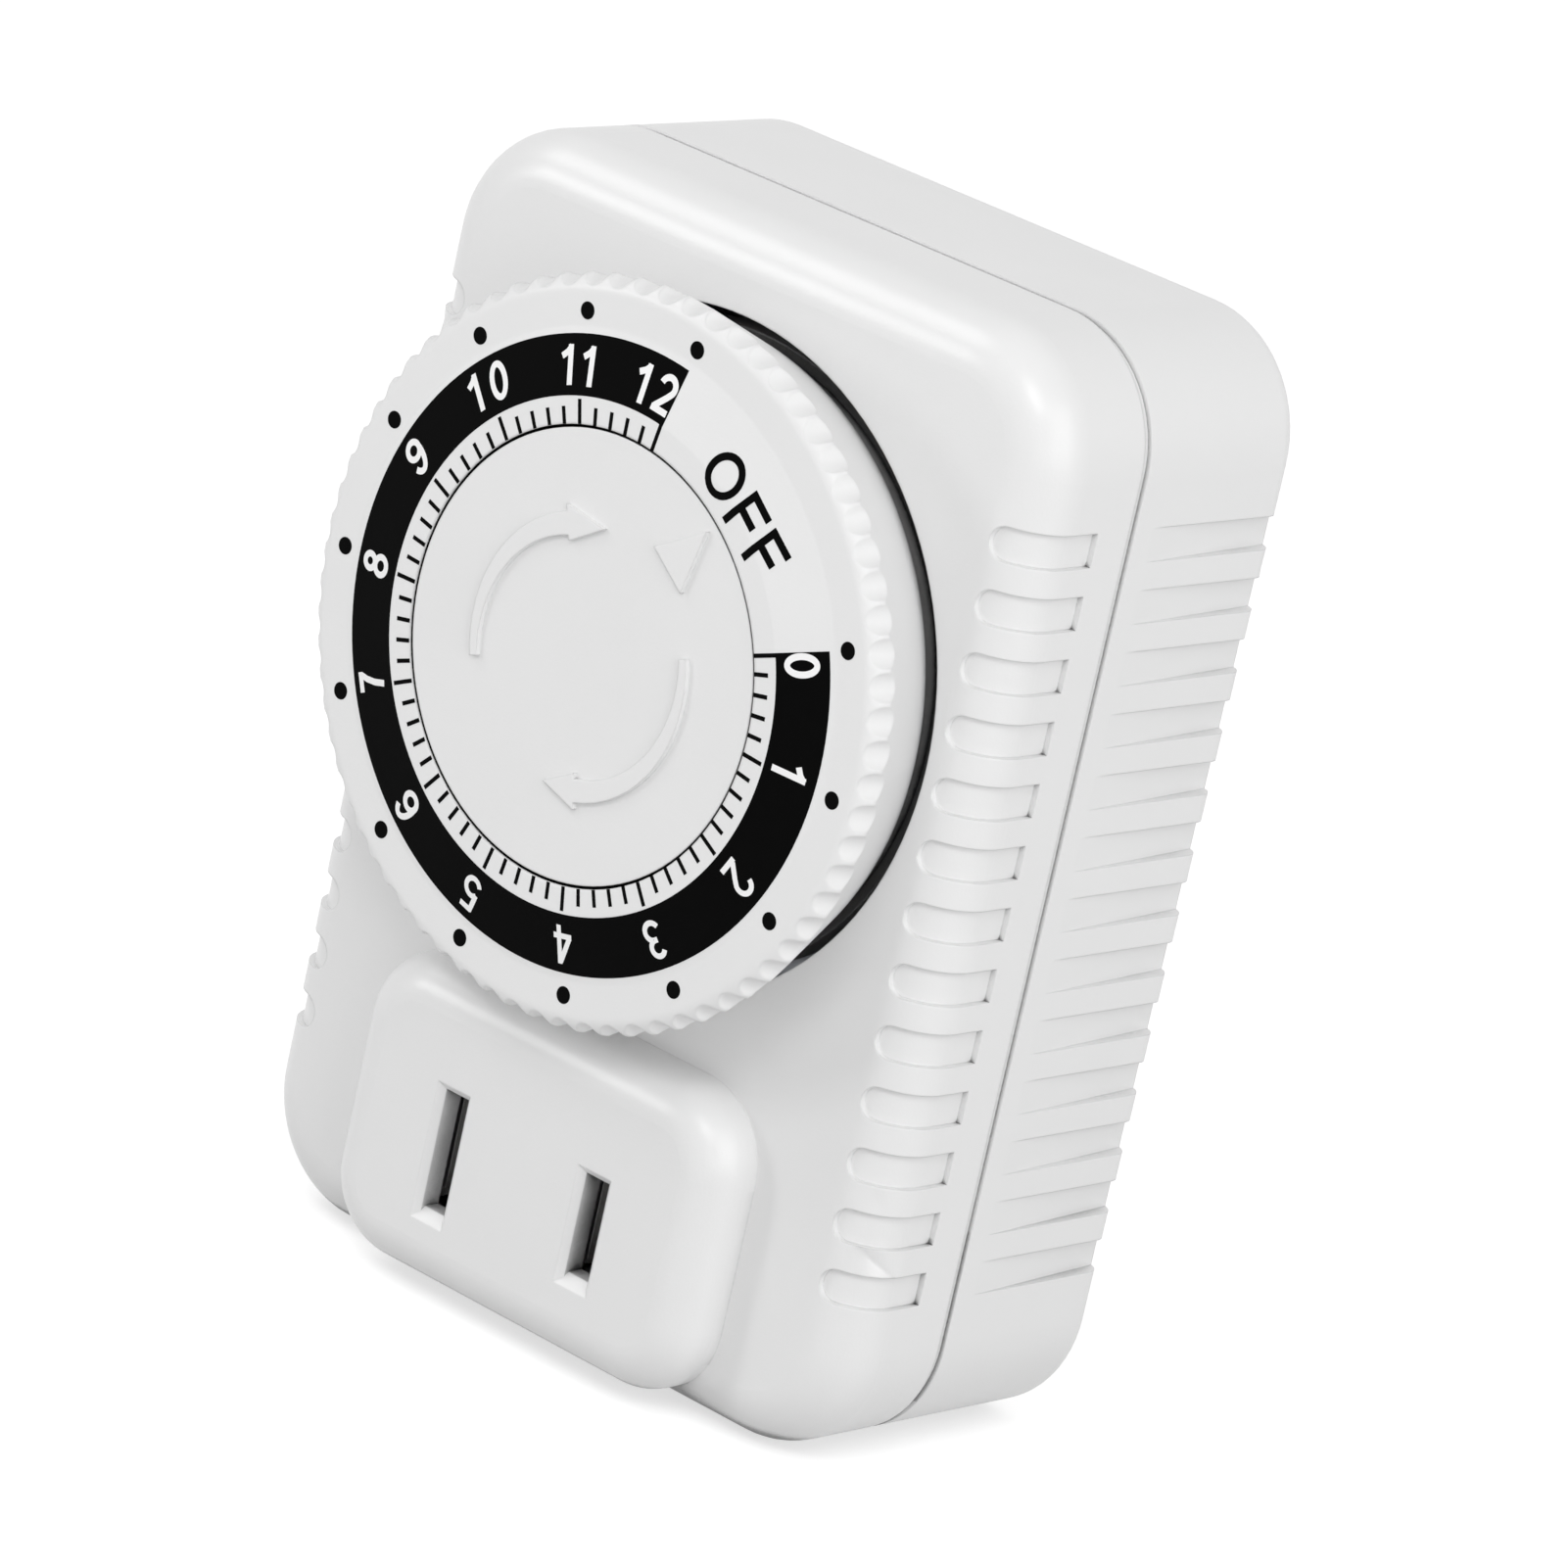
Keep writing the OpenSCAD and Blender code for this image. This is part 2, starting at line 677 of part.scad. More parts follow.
module dial() {
    color(white_plastic)
    difference() {
        turned(main_at) dial_section();
        flutes();
    }
}

// Cam on the dial's rear edge. The leaf drops into its notch when the dial stands at off.
module switch_cam() {
    floor_r = cam_r - notch_cut;
    ramp = 4;
    color("gainsboro")
    layer(cam_rear, skirt_rear) translate(main_at) difference() {
        circle(r = cam_r);
        circle(r = cam_r - cam_ring_t);
        polygon([along(-90 - notch_half_angle - ramp, cam_r + 0.1),
                 along(-90 - notch_half_angle, floor_r),
                 along(-90 + notch_half_angle, floor_r),
                 along(-90 + notch_half_angle + ramp, cam_r + 0.1),
                 along(-90, cam_r + bite)]);
    }
}

// Raised arrow that shows which way to turn: an arc that tapers to its tail, with a barbed head.
module turn_arrow(neck_dir, tip_dir) {
    out_r = disc_r - 5.15;
    tip_r = disc_r - 5.85;
    tail_dir = 199;
    tail_w = 0.6;
    neck_w = 1.5;
    head_w = 2.3;
    steps = 16;
    function arc_dir(i) = tail_dir + (neck_dir - tail_dir) * i / steps;
    function arc_w(i) = tail_w + (neck_w - tail_w) * i / steps;
    polygon(concat(
        [for (i = [0:steps]) along(arc_dir(i), out_r)],
        [along(neck_dir, tip_r + head_w / 2), along(tip_dir, tip_r),
         along(neck_dir, tip_r - head_w / 2)],
        [for (i = [steps:-1:0]) along(arc_dir(i), out_r - arc_w(i))]));
}

module pointer_triangle() {
    apex_r = disc_r - 0.6;
    base_r = apex_r - 4.1;
    half_w = 1.75;
    rotate(pointer_dir) polygon([[base_r, -half_w], [apex_r, 0], [base_r, half_w]]);
}

module post_outline(r) {
    intersection() {
        circle(r = r);
        translate([-r - bite, -r - bite]) square([2 * (r + bite), 2 * r + bite - flat_cut]);
    }
}

// Disc that stays still while the dial turns round it; a socket behind holds it on the post.
module pointer_disc() {
    socket_r = 4.6;
    socket_rear = dial_floor + 0.3;
    color(white_plastic)
    difference() {
        union() {
            rod(main_at, disc_r, disc_face - disc_t, disc_face);
            rod(main_at, socket_r, socket_rear, disc_face - disc_t);
            layer(disc_face, disc_face + mark_h) translate(main_at) {
                turn_arrow(111, 90);
                rotate(180) turn_arrow(104, 86);
                pointer_triangle();
            }
        }
        layer(socket_rear - bite, post_top) translate(main_at) post_outline(post_r);
    }
}

module centre_post() {
    foot_r = 3.4;
    foot_t = 0.8;
    plate_front = rear_plate + plate_t;
    color(steel) {
        rod(main_at, post_r - pivot_r, rear_plate, plate_front);
        rod(main_at, foot_r, plate_front, plate_front + foot_t);
        rod(main_at, post_r, plate_front + foot_t, dial_floor);
        layer(dial_floor, post_top) translate(main_at) post_outline(post_r);
    }
}

// ---- Gear train ----------------------------------------------------------

// Round cut-outs that lighten a wheel.
module wheel_windows(count, ring_r, hole_r) {
    for (i = [0:count - 1]) translate(along(i * 360 / count, ring_r)) circle(r = hole_r);
}

module main_wheel() {
    color("ivory") {
        layer(tier_3, tier_3 + wheel_t) translate(main_at) difference() {
            wheel_outline(main_teeth, main_module, second_dir);
            circle(r = hub_r);
            wheel_windows(5, (hub_r + main_pitch_r) / 2 - 0.3, main_pitch_r * 0.187);
        }
        turned(main_at) translate([post_r + run_gap, tube_rear])
            square([hub_r - post_r - run_gap, tube_front - tube_rear]);
    }
}

// Collar pressed on the main wheel's tube: the clutch spring stands on it.
module drive_collar() {
    color(steel)
    turned(main_at) translate([hub_r, collar_rear]) square([collar_r - hub_r, collar_t]);
}

// Dished spring washer: the friction lets a hand turn the dial ahead of the train.
module clutch_spring() {
    rear = collar_rear + collar_t;
    front = body_depth - wall - 0.05;
    color(steel)
    turned(main_at) polygon([
        [hub_r + seat_gap, rear], [hub_r + seat_gap + 0.5, rear],
        [dial_hub_r - 0.2, front - spring_t], [dial_hub_r - 0.2, front],
        [hub_r + seat_gap, rear + spring_t]]);
}

module arbor_wheel(teeth, at, mate_dir, rear, bore_r) {
    layer(rear, rear + wheel_t) translate(at) difference() {
        wheel_outline(teeth, train_module, mate_dir);
        circle(r = bore_r);
        wheel_windows(4, teeth * train_module / 4 + 0.8, teeth * train_module / 13);
    }
}

// Pinion and its arbor in one piece, with thin pivots in both plates.
module arbor_pinion(module_size, at, mate_dir, rear) {
    rod(at, pivot_r, rear_plate + 0.1, rear_plate + plate_t + 0.1);
    rod(at, arbor_r, rear_plate + plate_t + 0.1, front_plate - 0.1);
    rod(at, pivot_r, front_plate - 0.1, plate_front_face);
    layer(rear, rear + wheel_t + 0.2) translate(at) pinion_outline(module_size, mate_dir);
}

module second_wheel() {
    color("ivory") arbor_wheel(second_teeth, second_at, first_dir, tier_2, arbor_r);
}

module second_pinion() {
    color(brass_tone) arbor_pinion(main_module, second_at, second_dir + 180, tier_3 - 0.1);
}

module first_wheel() {
    color("ivory") arbor_wheel(first_teeth, first_at, drive_dir, tier_1, arbor_r);
}

module first_pinion() {
    color(brass_tone) arbor_pinion(train_module, first_at, first_dir + 180, tier_2 - 0.1);
}

// The motor's output shaft and pinion.
module drive_pinion() {
    color(brass_tone) {
        rod(drive_at, motor_shaft_r, motor_front + 0.1, tier_1);
        layer(tier_1, tier_1 + wheel_t + 0.1) translate(drive_at)
            pinion_outline(train_module, drive_dir + 180);
    }
}

// ---- Plates --------------------------------------------------------------

// Outline of both plates, with a notch over the switched strip.
module plate_outline() {
    notch_half_w = strip_tab_half_w + 0.6;
    difference() {
        translate([0, (plate_low + plate_high) / 2])
            rounded_rect(2 * plate_half_w, plate_high - plate_low, 2);
        translate([slot_x - notch_half_w, plate_low - bite])
            square([2 * notch_half_w, max(0, shelf_top + 0.9 - plate_low) + bite]);
    }
}

module rear_plate() {
    color(steel)
    layer(rear_plate, rear_plate + plate_t) difference() {
        plate_outline();
        for (at = pillar_places) translate(at) circle(r = plate_screw_r);
        for (at = [first_at, second_at]) translate(at) circle(r = pivot_r + run_gap);
        translate(main_at) circle(r = post_r - pivot_r);
        translate(drive_at) circle(r = motor_boss_r);
        for (sx = [-1, 1])
            translate([sx * motor_ear_x, motor_at[1]]) circle(r = motor_screw_r);
    }
}

module front_plate() {
    color(steel)
    layer(front_plate, plate_front_face) difference() {
        plate_outline();
        for (at = pillar_places) translate(at) circle(r = plate_screw_r);
        for (at = [first_at, second_at]) translate(at) circle(r = pivot_r + run_gap);
        translate(main_at) circle(r = hub_r + 0.3);
        for (dir = [20, 90, 160])
            translate(main_at + along(dir, main_pitch_r * 0.767)) circle(r = main_pitch_r * 0.24);
    }
}

module plate_pillars() {
    color(brass_tone)
    for (at = pillar_places) layer(rear_plate + plate_t, front_plate) translate(at)
        difference() {
            circle(r = pillar_r);
            circle(r = plate_screw_r);
        }
}

module plate_screws() {
    color(steel)
    for (at = pillar_places) difference() {
        union() {
            rod(at, plate_screw_r, plate_front_face - plate_screw_len, plate_front_face);
            rod(at, plate_screw_head_r, plate_front_face,
                plate_front_face + plate_screw_head_t);
        }
        layer(plate_front_face + 0.5, plate_front_face + plate_screw_head_t + bite)
            translate(at) square([2 * plate_screw_head_r + bite, 0.5], center = true);
    }
}

// ---- Motor ---------------------------------------------------------------

module motor_can() {
    crimp = 0.8;
    flange_rear = motor_front - motor_flange_t;
    color("silver")
    turned(motor_at) polygon([
        [0, motor_rear], [motor_r - crimp, motor_rear], [motor_r, motor_rear + crimp],
        [motor_r, flange_rear], [0, flange_rear]]);
}

module motor_flange() {
    color(steel) {
        layer(motor_front - motor_flange_t, motor_front) difference() {
            union() {
                translate(motor_at) circle(r = motor_r - 0.4);
                for (sx = [-1, 1]) translate([sx * motor_ear_x, motor_at[1]])
                    circle(r = motor_ear_r);
                translate(motor_at) square([2 * motor_ear_x, 2 * motor_ear_r], center = true);
            }
            for (sx = [-1, 1])
                translate([sx * motor_ear_x, motor_at[1]]) circle(r = motor_screw_r);
        }
        layer(motor_front, motor_front + plate_t) translate(drive_at) difference() {
            circle(r = motor_boss_r - seat_gap);
            circle(r = motor_shaft_r + run_gap);
        }
    }
}

module motor_screws() {
    head_r = 1.6;
    head_t = 0.8;
    rear = motor_front - motor_flange_t;
    color(steel)
    for (sx = [-1, 1]) {
        at = [sx * motor_ear_x, motor_at[1]];
        rod(at, head_r, rear - head_t, rear);
        rod(at, motor_screw_r, rear, motor_front + plate_t);
    }
}

// Moulded block that brings the coil's ends out under the can.
module terminal_block() {
    color("gold")
    difference() {
        layer(terminal_depths[0], terminal_depths[1])
            translate([-terminal_half_w, terminal_low])
                square([2 * terminal_half_w, motor_at[1] - motor_r + 2 - terminal_low]);
        rod(motor_at, motor_r, motor_rear - bite, motor_front);
    }
}

module terminal_pins() {
    color(brass_tone)
    for (sx = [-1, 1])
        layer(pin_depth - 0.9, pin_depth + 0.9)
            translate([sx * terminal_x - 0.3, terminal_low - pin_drop])
                square([0.6, pin_drop]);
}

// Insulated wire with square bends along a few points (x, depth, z).
module wire_run(points) {
    spots = [for (p = points) [p[0], -p[1], p[2]]];
    for (i = [0:len(spots) - 2]) {
        run = spots[i + 1] - spots[i];
        translate(spots[i])
            rotate([0, acos(run[2] / norm(run)), atan2(run[1], run[0])])
                cylinder(r = wire_r, h = norm(run));
    }
    for (i = [1:len(spots) - 2]) translate(spots[i]) sphere(r = wire_r);
}

module line_lead() {
    color("white")
    wire_run([[terminal_x, pin_depth, terminal_low - pin_drop],
              [terminal_x, pin_depth, lead_bend_z], [slot_x, pin_depth, lead_bend_z],
              [slot_x, clip_rear - strip_t, lead_bend_z]]);
}

module neutral_lead() {
    color("white")
    wire_run([[-terminal_x, pin_depth, terminal_low - pin_drop],
              [-terminal_x, pin_depth, lead_bend_z], [riser_x, pin_depth, lead_bend_z],
              [riser_x, pin_depth, strip_half_h]]);
}

// ---- Conductors ----------------------------------------------------------

// Flat blade with a bent foot inside the case, chamfered tip and a hole near the tip.
module blade(tall) {
    tip = 1.2;
    tip_t = 0.35;
    half_t = blade_t / 2;
    half_h = tall / 2;
    difference() {
        union() {
            intersection() {
                storey(-half_h, half_h)
                    polygon([[slot_x - half_t, wall + blade_t], [slot_x + half_t, wall + blade_t],
                             [slot_x + half_t, -blade_len + tip],
                             [slot_x + half_t - tip_t, -blade_len],
                             [slot_x - half_t + tip_t, -blade_len],
                             [slot_x - half_t, -blade_len + tip]]);
                slice(slot_x - half_t, slot_x + half_t)
                    polygon([[wall + blade_t, half_h], [-blade_len + tip, half_h],
                             [-blade_len, half_h - tip], [-blade_len, tip - half_h],
                             [-blade_len + tip, -half_h], [wall + blade_t, -half_h]]);
            }
            storey(-half_h, half_h) translate([slot_x + half_t, wall])
                square([foot_out - slot_x - half_t, blade_t]);
        }
        translate([slot_x - blade_t, blade_len - 5, 0]) rotate([0, 90, 0])
            cylinder(r = blade_hole_r, h = 2 * blade_t);
    }
}

module line_blade() {
    color(brass_tone) blade(blade_h);
}

module neutral_blade() {
    color(brass_tone) mirror([1, 0, 0]) blade(wide_blade_h);
}

// Spring clip behind a slot: two leaves that pinch a plug's blade, flared at the mouth.
module clip() {
    throat = 0.85;
    flare = 1.9;
    knee = clip_rear + 4;
    pinch = clip_front - 3.1;
    base = clip_rear + clip_t / 2;
    storey(-clip_half_h, clip_half_h) translate([slot_x, 0])
        bent_strip([[-flare, clip_front], [-throat, pinch], [-clip_half_w, knee],
                    [-clip_half_w, base], [clip_half_w, base], [clip_half_w, knee],
                    [throat, pinch], [flare, clip_front]], clip_t);
}

module line_clip() {
    color(brass_tone) clip();
}

module neutral_clip() {
    color(brass_tone) mirror([1, 0, 0]) clip();
}

// Live strip: from the blade's foot forward along the case, then up to the leaf's tail.
module line_strip() {
    seat = wall + blade_t;
    color(brass_tone)
    difference() {
        union() {
            storey(-strip_half_h, strip_half_h)
                bent_strip([[tab_in, seat + strip_t / 2],
                            [line_wall_x + strip_t / 2, seat + strip_t / 2],
                            [line_wall_x + strip_t / 2, leaf_depths[1]]], strip_t);
            layer(leaf_depths[0], leaf_depths[1])
                translate([line_wall_x, strip_half_h])
                    square([strip_t, anchor_z + 2 - strip_half_h]);
        }
        anchor_hole();
    }
}

module anchor_hole() {
    translate([line_wall_x - bite, -leaf_mid_depth, anchor_z]) rotate([0, 90, 0])
        cylinder(r = rivet_shank_r, h = strip_t + leaf_t + 2 * bite);
}

// Neutral strip: straight from the blade's foot to the base of the clip.
module neutral_strip() {
    seat = wall + blade_t + strip_t / 2;
    base = clip_rear - strip_t / 2;
    color(brass_tone)
    storey(-strip_half_h, strip_half_h)
        bent_strip([[-foot_out, seat], [riser_x, seat], [riser_x, base],
                    [-slot_x + clip_half_w, base]], strip_t);
}

// Switched strip: up from the live clip's base, forward over it and across to the contact.
module switched_strip() {
    half_w = strip_tab_half_w;
    color(brass_tone)
    difference() {
        union() {
            layer(clip_rear - strip_t, clip_rear)
                translate([slot_x - half_w, -strip_half_h])
                    square([2 * half_w, shelf_top + strip_half_h]);
            storey(shelf_top - strip_t, shelf_top) {
                translate([slot_x - half_w, clip_rear - strip_t])
                    square([2 * half_w, leaf_depths[1] - clip_rear + strip_t]);
                translate([rivet_x - 2, leaf_depths[0]])
                    square([slot_x - rivet_x + 2, leaf_depths[1] - leaf_depths[0]]);
            }
        }
        translate([rivet_x, -leaf_mid_depth, shelf_top - strip_t - bite])
            cylinder(r = rivet_shank_r, h = strip_t + 2 * bite);
    }
}

// Sprung leaf: riveted at its tail, with a nose that rides on the cam.
module contact_leaf() {
    tail_x = leaf_tail_x + leaf_t / 2;
    color("goldenrod")
    difference() {
        layer(leaf_depths[0], leaf_depths[1])
            bent_strip([[tail_x, leaf_tail_z], [tail_x, leaf_z], [nose_half_w, leaf_z],
                        [0.4, nose_tip - leaf_t], [-0.4, nose_tip - leaf_t],
                        [-nose_half_w, leaf_z], [rivet_x - 1.8, leaf_z]], leaf_t);
        anchor_hole();
        translate([rivet_x, -leaf_mid_depth, leaf_z - bite])
            cylinder(r = rivet_shank_r, h = 2 * bite);
    }
}

// Upright contact rivet: a head, a shank through the strip and a clenched end.
module contact_rivet(low, high, head_t, tail_t, head_down) {
    head_z = head_down ? low - head_t : high;
    tail_z = head_down ? high : low - tail_t;
    translate([rivet_x, -leaf_mid_depth, 0]) {
        translate([0, 0, head_z]) cylinder(r = rivet_r, h = head_t);
        translate([0, 0, low]) cylinder(r = rivet_shank_r, h = high - low);
        translate([0, 0, tail_z]) cylinder(r = rivet_r - 0.3, h = tail_t);
    }
}

module moving_contact() {
    color(silver)
    contact_rivet(leaf_z - leaf_t / 2, leaf_z + leaf_t / 2, moving_head_t, 0.4, true);
}

module fixed_contact() {
    color(silver)
    contact_rivet(shelf_top - strip_t, shelf_top, fixed_head_t, 0.4, false);
}

module leaf_rivet() {
    inner = line_wall_x;
    outer = leaf_tail_x + leaf_t;
    color(silver)
    translate([0, -leaf_mid_depth, anchor_z]) rotate([0, 90, 0]) {
        translate([0, 0, inner - rivet_head_t]) cylinder(r = rivet_r, h = rivet_head_t);
        translate([0, 0, inner]) cylinder(r = rivet_shank_r, h = outer - inner);
        translate([0, 0, outer]) cylinder(r = rivet_r, h = rivet_head_t);
    }
}

front_cover();
rear_cover();
case_screws();
dial();
switch_cam();
pointer_disc();
centre_post();
main_wheel();
drive_collar();
clutch_spring();
second_wheel();
second_pinion();
first_wheel();
first_pinion();
drive_pinion();
rear_plate();
front_plate();
plate_pillars();
plate_screws();
motor_can();
motor_flange();
motor_screws();
terminal_block();
terminal_pins();
line_lead();
neutral_lead();
line_blade();
neutral_blade();
line_clip();
neutral_clip();
line_strip();
neutral_strip();
switched_strip();
contact_leaf();
moving_contact();
fixed_contact();
leaf_rivet();
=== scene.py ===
"""Looks of the plug-in timer switch: its finishes, the print on the dial and the studio.

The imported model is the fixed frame, in metres, with +Z up and the front towards -Y. Sizes of the
finishes are in metres, sizes of the print and the studio in millimetres. A "depth" is a distance
in front of the wall.
"""

import logging
import math
from collections.abc import Iterable, Sequence
from dataclasses import dataclass, field
from enum import Enum

import bpy
from mathutils import Matrix, Vector
from mathutils.geometry import delaunay_2d_cdt


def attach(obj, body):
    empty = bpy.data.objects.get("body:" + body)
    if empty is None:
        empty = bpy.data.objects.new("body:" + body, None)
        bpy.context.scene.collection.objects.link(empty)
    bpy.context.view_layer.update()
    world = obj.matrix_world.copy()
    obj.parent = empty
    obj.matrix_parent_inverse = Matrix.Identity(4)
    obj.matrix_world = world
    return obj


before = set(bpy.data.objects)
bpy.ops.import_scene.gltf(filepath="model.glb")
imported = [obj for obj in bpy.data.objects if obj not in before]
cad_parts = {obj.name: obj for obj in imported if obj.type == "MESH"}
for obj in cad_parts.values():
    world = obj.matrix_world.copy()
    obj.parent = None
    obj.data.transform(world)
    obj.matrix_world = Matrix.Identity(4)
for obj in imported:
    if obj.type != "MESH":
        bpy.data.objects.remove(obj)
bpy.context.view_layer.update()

Point = tuple[float, float]
Colour = tuple[float, float, float]
MM = 0.001
WHITE = (1.0, 1.0, 1.0, 1.0)
log = logging.getLogger("timer_switch")


class Body(Enum):
    """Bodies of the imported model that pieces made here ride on."""

    DIAL = "dial"


class Lay(Enum):
    """Direction in which a metal surface is brushed, rolled or turned."""

    UPRIGHT = (1.0, 1.0, 0.04)
    ALONG_BLADE = (1.0, 0.04, 1.0)
    EVEN = (1.0, 1.0, 1.0)


# ---- Node trees ------------------------------------------------------------------------------


class Graph:
    """Adds linked nodes to one node tree."""

    # Places of the Mix node's sockets when it mixes colours.
    mix_share, mix_first, mix_second, mix_result = 0, 6, 7, 2

    def __init__(self, tree: bpy.types.NodeTree) -> None:
        """Keeps the tree that the nodes go into.

        Args:
            tree: The node tree.
        """
        self.tree = tree

    def add(self, kind: str, inputs: dict | None = None, **settings: object) -> bpy.types.Node:
        """Adds a node.

        Args:
            kind: Blender's name of the node type, without "ShaderNode".
            inputs: For an input socket's name or place, a value or the socket that feeds it.
            **settings: Properties of the node.

        Returns:
            The new node.
        """
        node = self.tree.nodes.new("ShaderNode" + kind)
        for name, setting in settings.items():
            setattr(node, name, setting)
        for key, given in (inputs or {}).items():
            if isinstance(given, bpy.types.NodeSocket):
                self.tree.links.new(given, node.inputs[key])
            else:
                node.inputs[key].default_value = given
        return node

    def feed(self, node: bpy.types.Node, sources: dict[str, bpy.types.NodeSocket]) -> None:
        """Links sockets to a node's inputs.

        Args:
            node: The node that they feed.
            sources: The socket that feeds each named input.
        """
        for name, source in sources.items():
            self.tree.links.new(source, node.inputs[name])

    def math(self, operation: str, *terms: object, clamp: bool = False) -> bpy.types.NodeSocket:
        """Adds a Math node.

        Args:
            operation: The node's operation, such as "ADD".
            *terms: Its inputs, numbers or sockets.
            clamp: Whether the result is kept between 0 and 1.

        Returns:
            The result's socket.
        """
        node = self.add("Math", dict(enumerate(terms)), operation=operation, use_clamp=clamp)
        return node.outputs[0]

    def blend(self, share: object, first: object, second: object) -> bpy.types.NodeSocket:
        """Mixes two colours.

        Args:
            share: How much of the second shows, a number or a socket.
            first: The colour at share 0, or its socket.
            second: The colour at share 1, or its socket.

        Returns:
            The mixed colour's socket.
        """
        colours = [c if isinstance(c, bpy.types.NodeSocket) else (*c, 1.0)
                   for c in (first, second)]
        node = self.add("Mix", {self.mix_share: share, self.mix_first: colours[0],
                                self.mix_second: colours[1]}, data_type="RGBA")
        return node.outputs[self.mix_result]


class EffectGroup:
    """A shader node group that several finishes share. Its lengths are in metres."""

    title = ""
    inputs: tuple[tuple[str, float], ...] = ()
    outputs: tuple[tuple[str, str], ...] = ()

    def __init__(self) -> None:
        """Builds the group's sockets and nodes."""
        self.tree = bpy.data.node_groups.new(self.title, "ShaderNodeTree")
        for name, default in self.inputs:
            socket = self.tree.interface.new_socket(
                name, in_out="INPUT", socket_type="NodeSocketFloat")
            socket.default_value = default
        for name, kind in self.outputs:
            self.tree.interface.new_socket(
                name, in_out="OUTPUT", socket_type="NodeSocket" + kind)
        self.graph = Graph(self.tree)
        self.given = self.tree.nodes.new("NodeGroupInput").outputs
        self.results = self.tree.nodes.new("NodeGroupOutput").inputs
        self.build()

    def build(self) -> None:
        """Adds the nodes between the group's sockets."""
        raise NotImplementedError

    def send(self, name: str, source: bpy.types.NodeSocket) -> None:
        """Links a result to one of the group's outputs.

        Args:
            name: The output's name.
            source: The socket that feeds it.
        """
        self.tree.links.new(source, self.results[name])

    def place(self, graph: Graph, **values: float) -> bpy.types.NodeOutputs:
        """Puts the group into a material.

        Args:
            graph: The material's graph.
            **values: The group's inputs, by name in small letters.

        Returns:
            The outputs of the group's node.
        """
        node = graph.add("Group", node_tree=self.tree)
        for name, value in values.items():
            node.inputs[name.capitalize()].default_value = value
        return node.outputs

    def place_coords(self) -> bpy.types.NodeSocket:
        """Returns the surface's own coordinates, in metres."""
        return self.graph.add("TexCoord").outputs["Object"]


class MouldedGrain(EffectGroup):
    """Fine spark-eroded grain and the slow waves of a moulded wall."""

    title = "moulded_grain"
    inputs = (("Size", 0.0003), ("Wave", 0.01))
    outputs = (("Height", "Float"), ("Tone", "Float"))
    fine_noise = {"Detail": 3.0, "Roughness": 0.6}
    slow_noise = {"Detail": 2.0}
    slow_height = 1.5

    def build(self) -> None:
        """Adds one fine and one slow noise."""
        g, coords = self.graph, self.place_coords()
        fine = g.add("TexNoise", {"Vector": coords, **self.fine_noise,
                                  "Scale": g.math("DIVIDE", 1.0, self.given["Size"])})
        slow = g.add("TexNoise", {"Vector": coords, **self.slow_noise,
                                  "Scale": g.math("DIVIDE", 1.0, self.given["Wave"])})
        heights = g.math("ADD", fine.outputs[0],
                         g.math("MULTIPLY", slow.outputs[0], self.slow_height))
        self.send("Height", heights)
        self.send("Tone", slow.outputs[0])


class Specks(EffectGroup):
    """Small dark inclusions scattered through a pale plastic."""

    title = "specks"
    inputs = (("Spacing", 0.004), ("Radius", 0.0001), ("Share", 0.3))
    outputs = (("Mask", "Float"),)
    smallest = 0.3
    sharpness = 2.0

    def build(self) -> None:
        """Keeps a spot in some of the cells of a random lattice."""
        g, spacing = self.graph, self.given["Spacing"]
        cells = g.add("TexVoronoi", {"Vector": self.place_coords(),
                                     "Scale": g.math("DIVIDE", 1.0, spacing)})
        chance = g.add("SeparateColor", {0: cells.outputs["Color"]}).outputs
        radius = g.math("MULTIPLY", self.given["Radius"],
                        g.math("ADD", chance["Green"], self.smallest))
        distance = g.math("MULTIPLY", cells.outputs["Distance"], spacing)
        near = g.math("SUBTRACT", 1.0, g.math("DIVIDE", distance, radius), clamp=True)
        spot = g.math("MULTIPLY", near, self.sharpness, clamp=True)
        chosen = g.math("LESS_THAN", chance["Red"], self.given["Share"])
        self.send("Mask", g.math("MULTIPLY", spot, chosen))


class SoftEdges(EffectGroup):
    """The small rounding that moulding, tumbling and handling leave on an edge."""

    title = "soft_edges"
    inputs = (("Radius", 0.0002),)
    outputs = (("Normal", "Vector"), ("Mask", "Float"))
    rays = 8
    contrast = 3.0

    def build(self) -> None:
        """Rounds the normal near edges and masks where it departs from the surface."""
        g = self.graph
        rounded = g.add("Bevel", {"Radius": self.given["Radius"]}, samples=self.rays)
        surface = g.add("NewGeometry").outputs["Normal"]
        alike = g.add("VectorMath", {0: rounded.outputs[0], 1: surface},
                      operation="DOT_PRODUCT").outputs["Value"]
        self.send("Normal", rounded.outputs[0])
        self.send("Mask", g.math("MULTIPLY", g.math("SUBTRACT", 1.0, alike), self.contrast,
                                 clamp=True))


class Crevices(EffectGroup):
    """A mask of where surfaces close in, from ambient occlusion; the plastics paint shade with it.
    """

    title = "crevices"
    inputs = (("Reach", 0.002), ("Shut", 0.15), ("Open", 0.6))
    outputs = (("Mask", "Float"),)
    rays = 12

    def build(self) -> None:
        """Turns the open share of the near surroundings into a mask."""
        g, shut = self.graph, self.given["Shut"]
        near = g.add("AmbientOcclusion", {"Distance": self.given["Reach"]}, samples=self.rays)
        span = g.math("SUBTRACT", self.given["Open"], shut)
        free = g.math("DIVIDE", g.math("SUBTRACT", near.outputs["AO"], shut), span, clamp=True)
        self.send("Mask", g.math("SUBTRACT", 1.0, free))


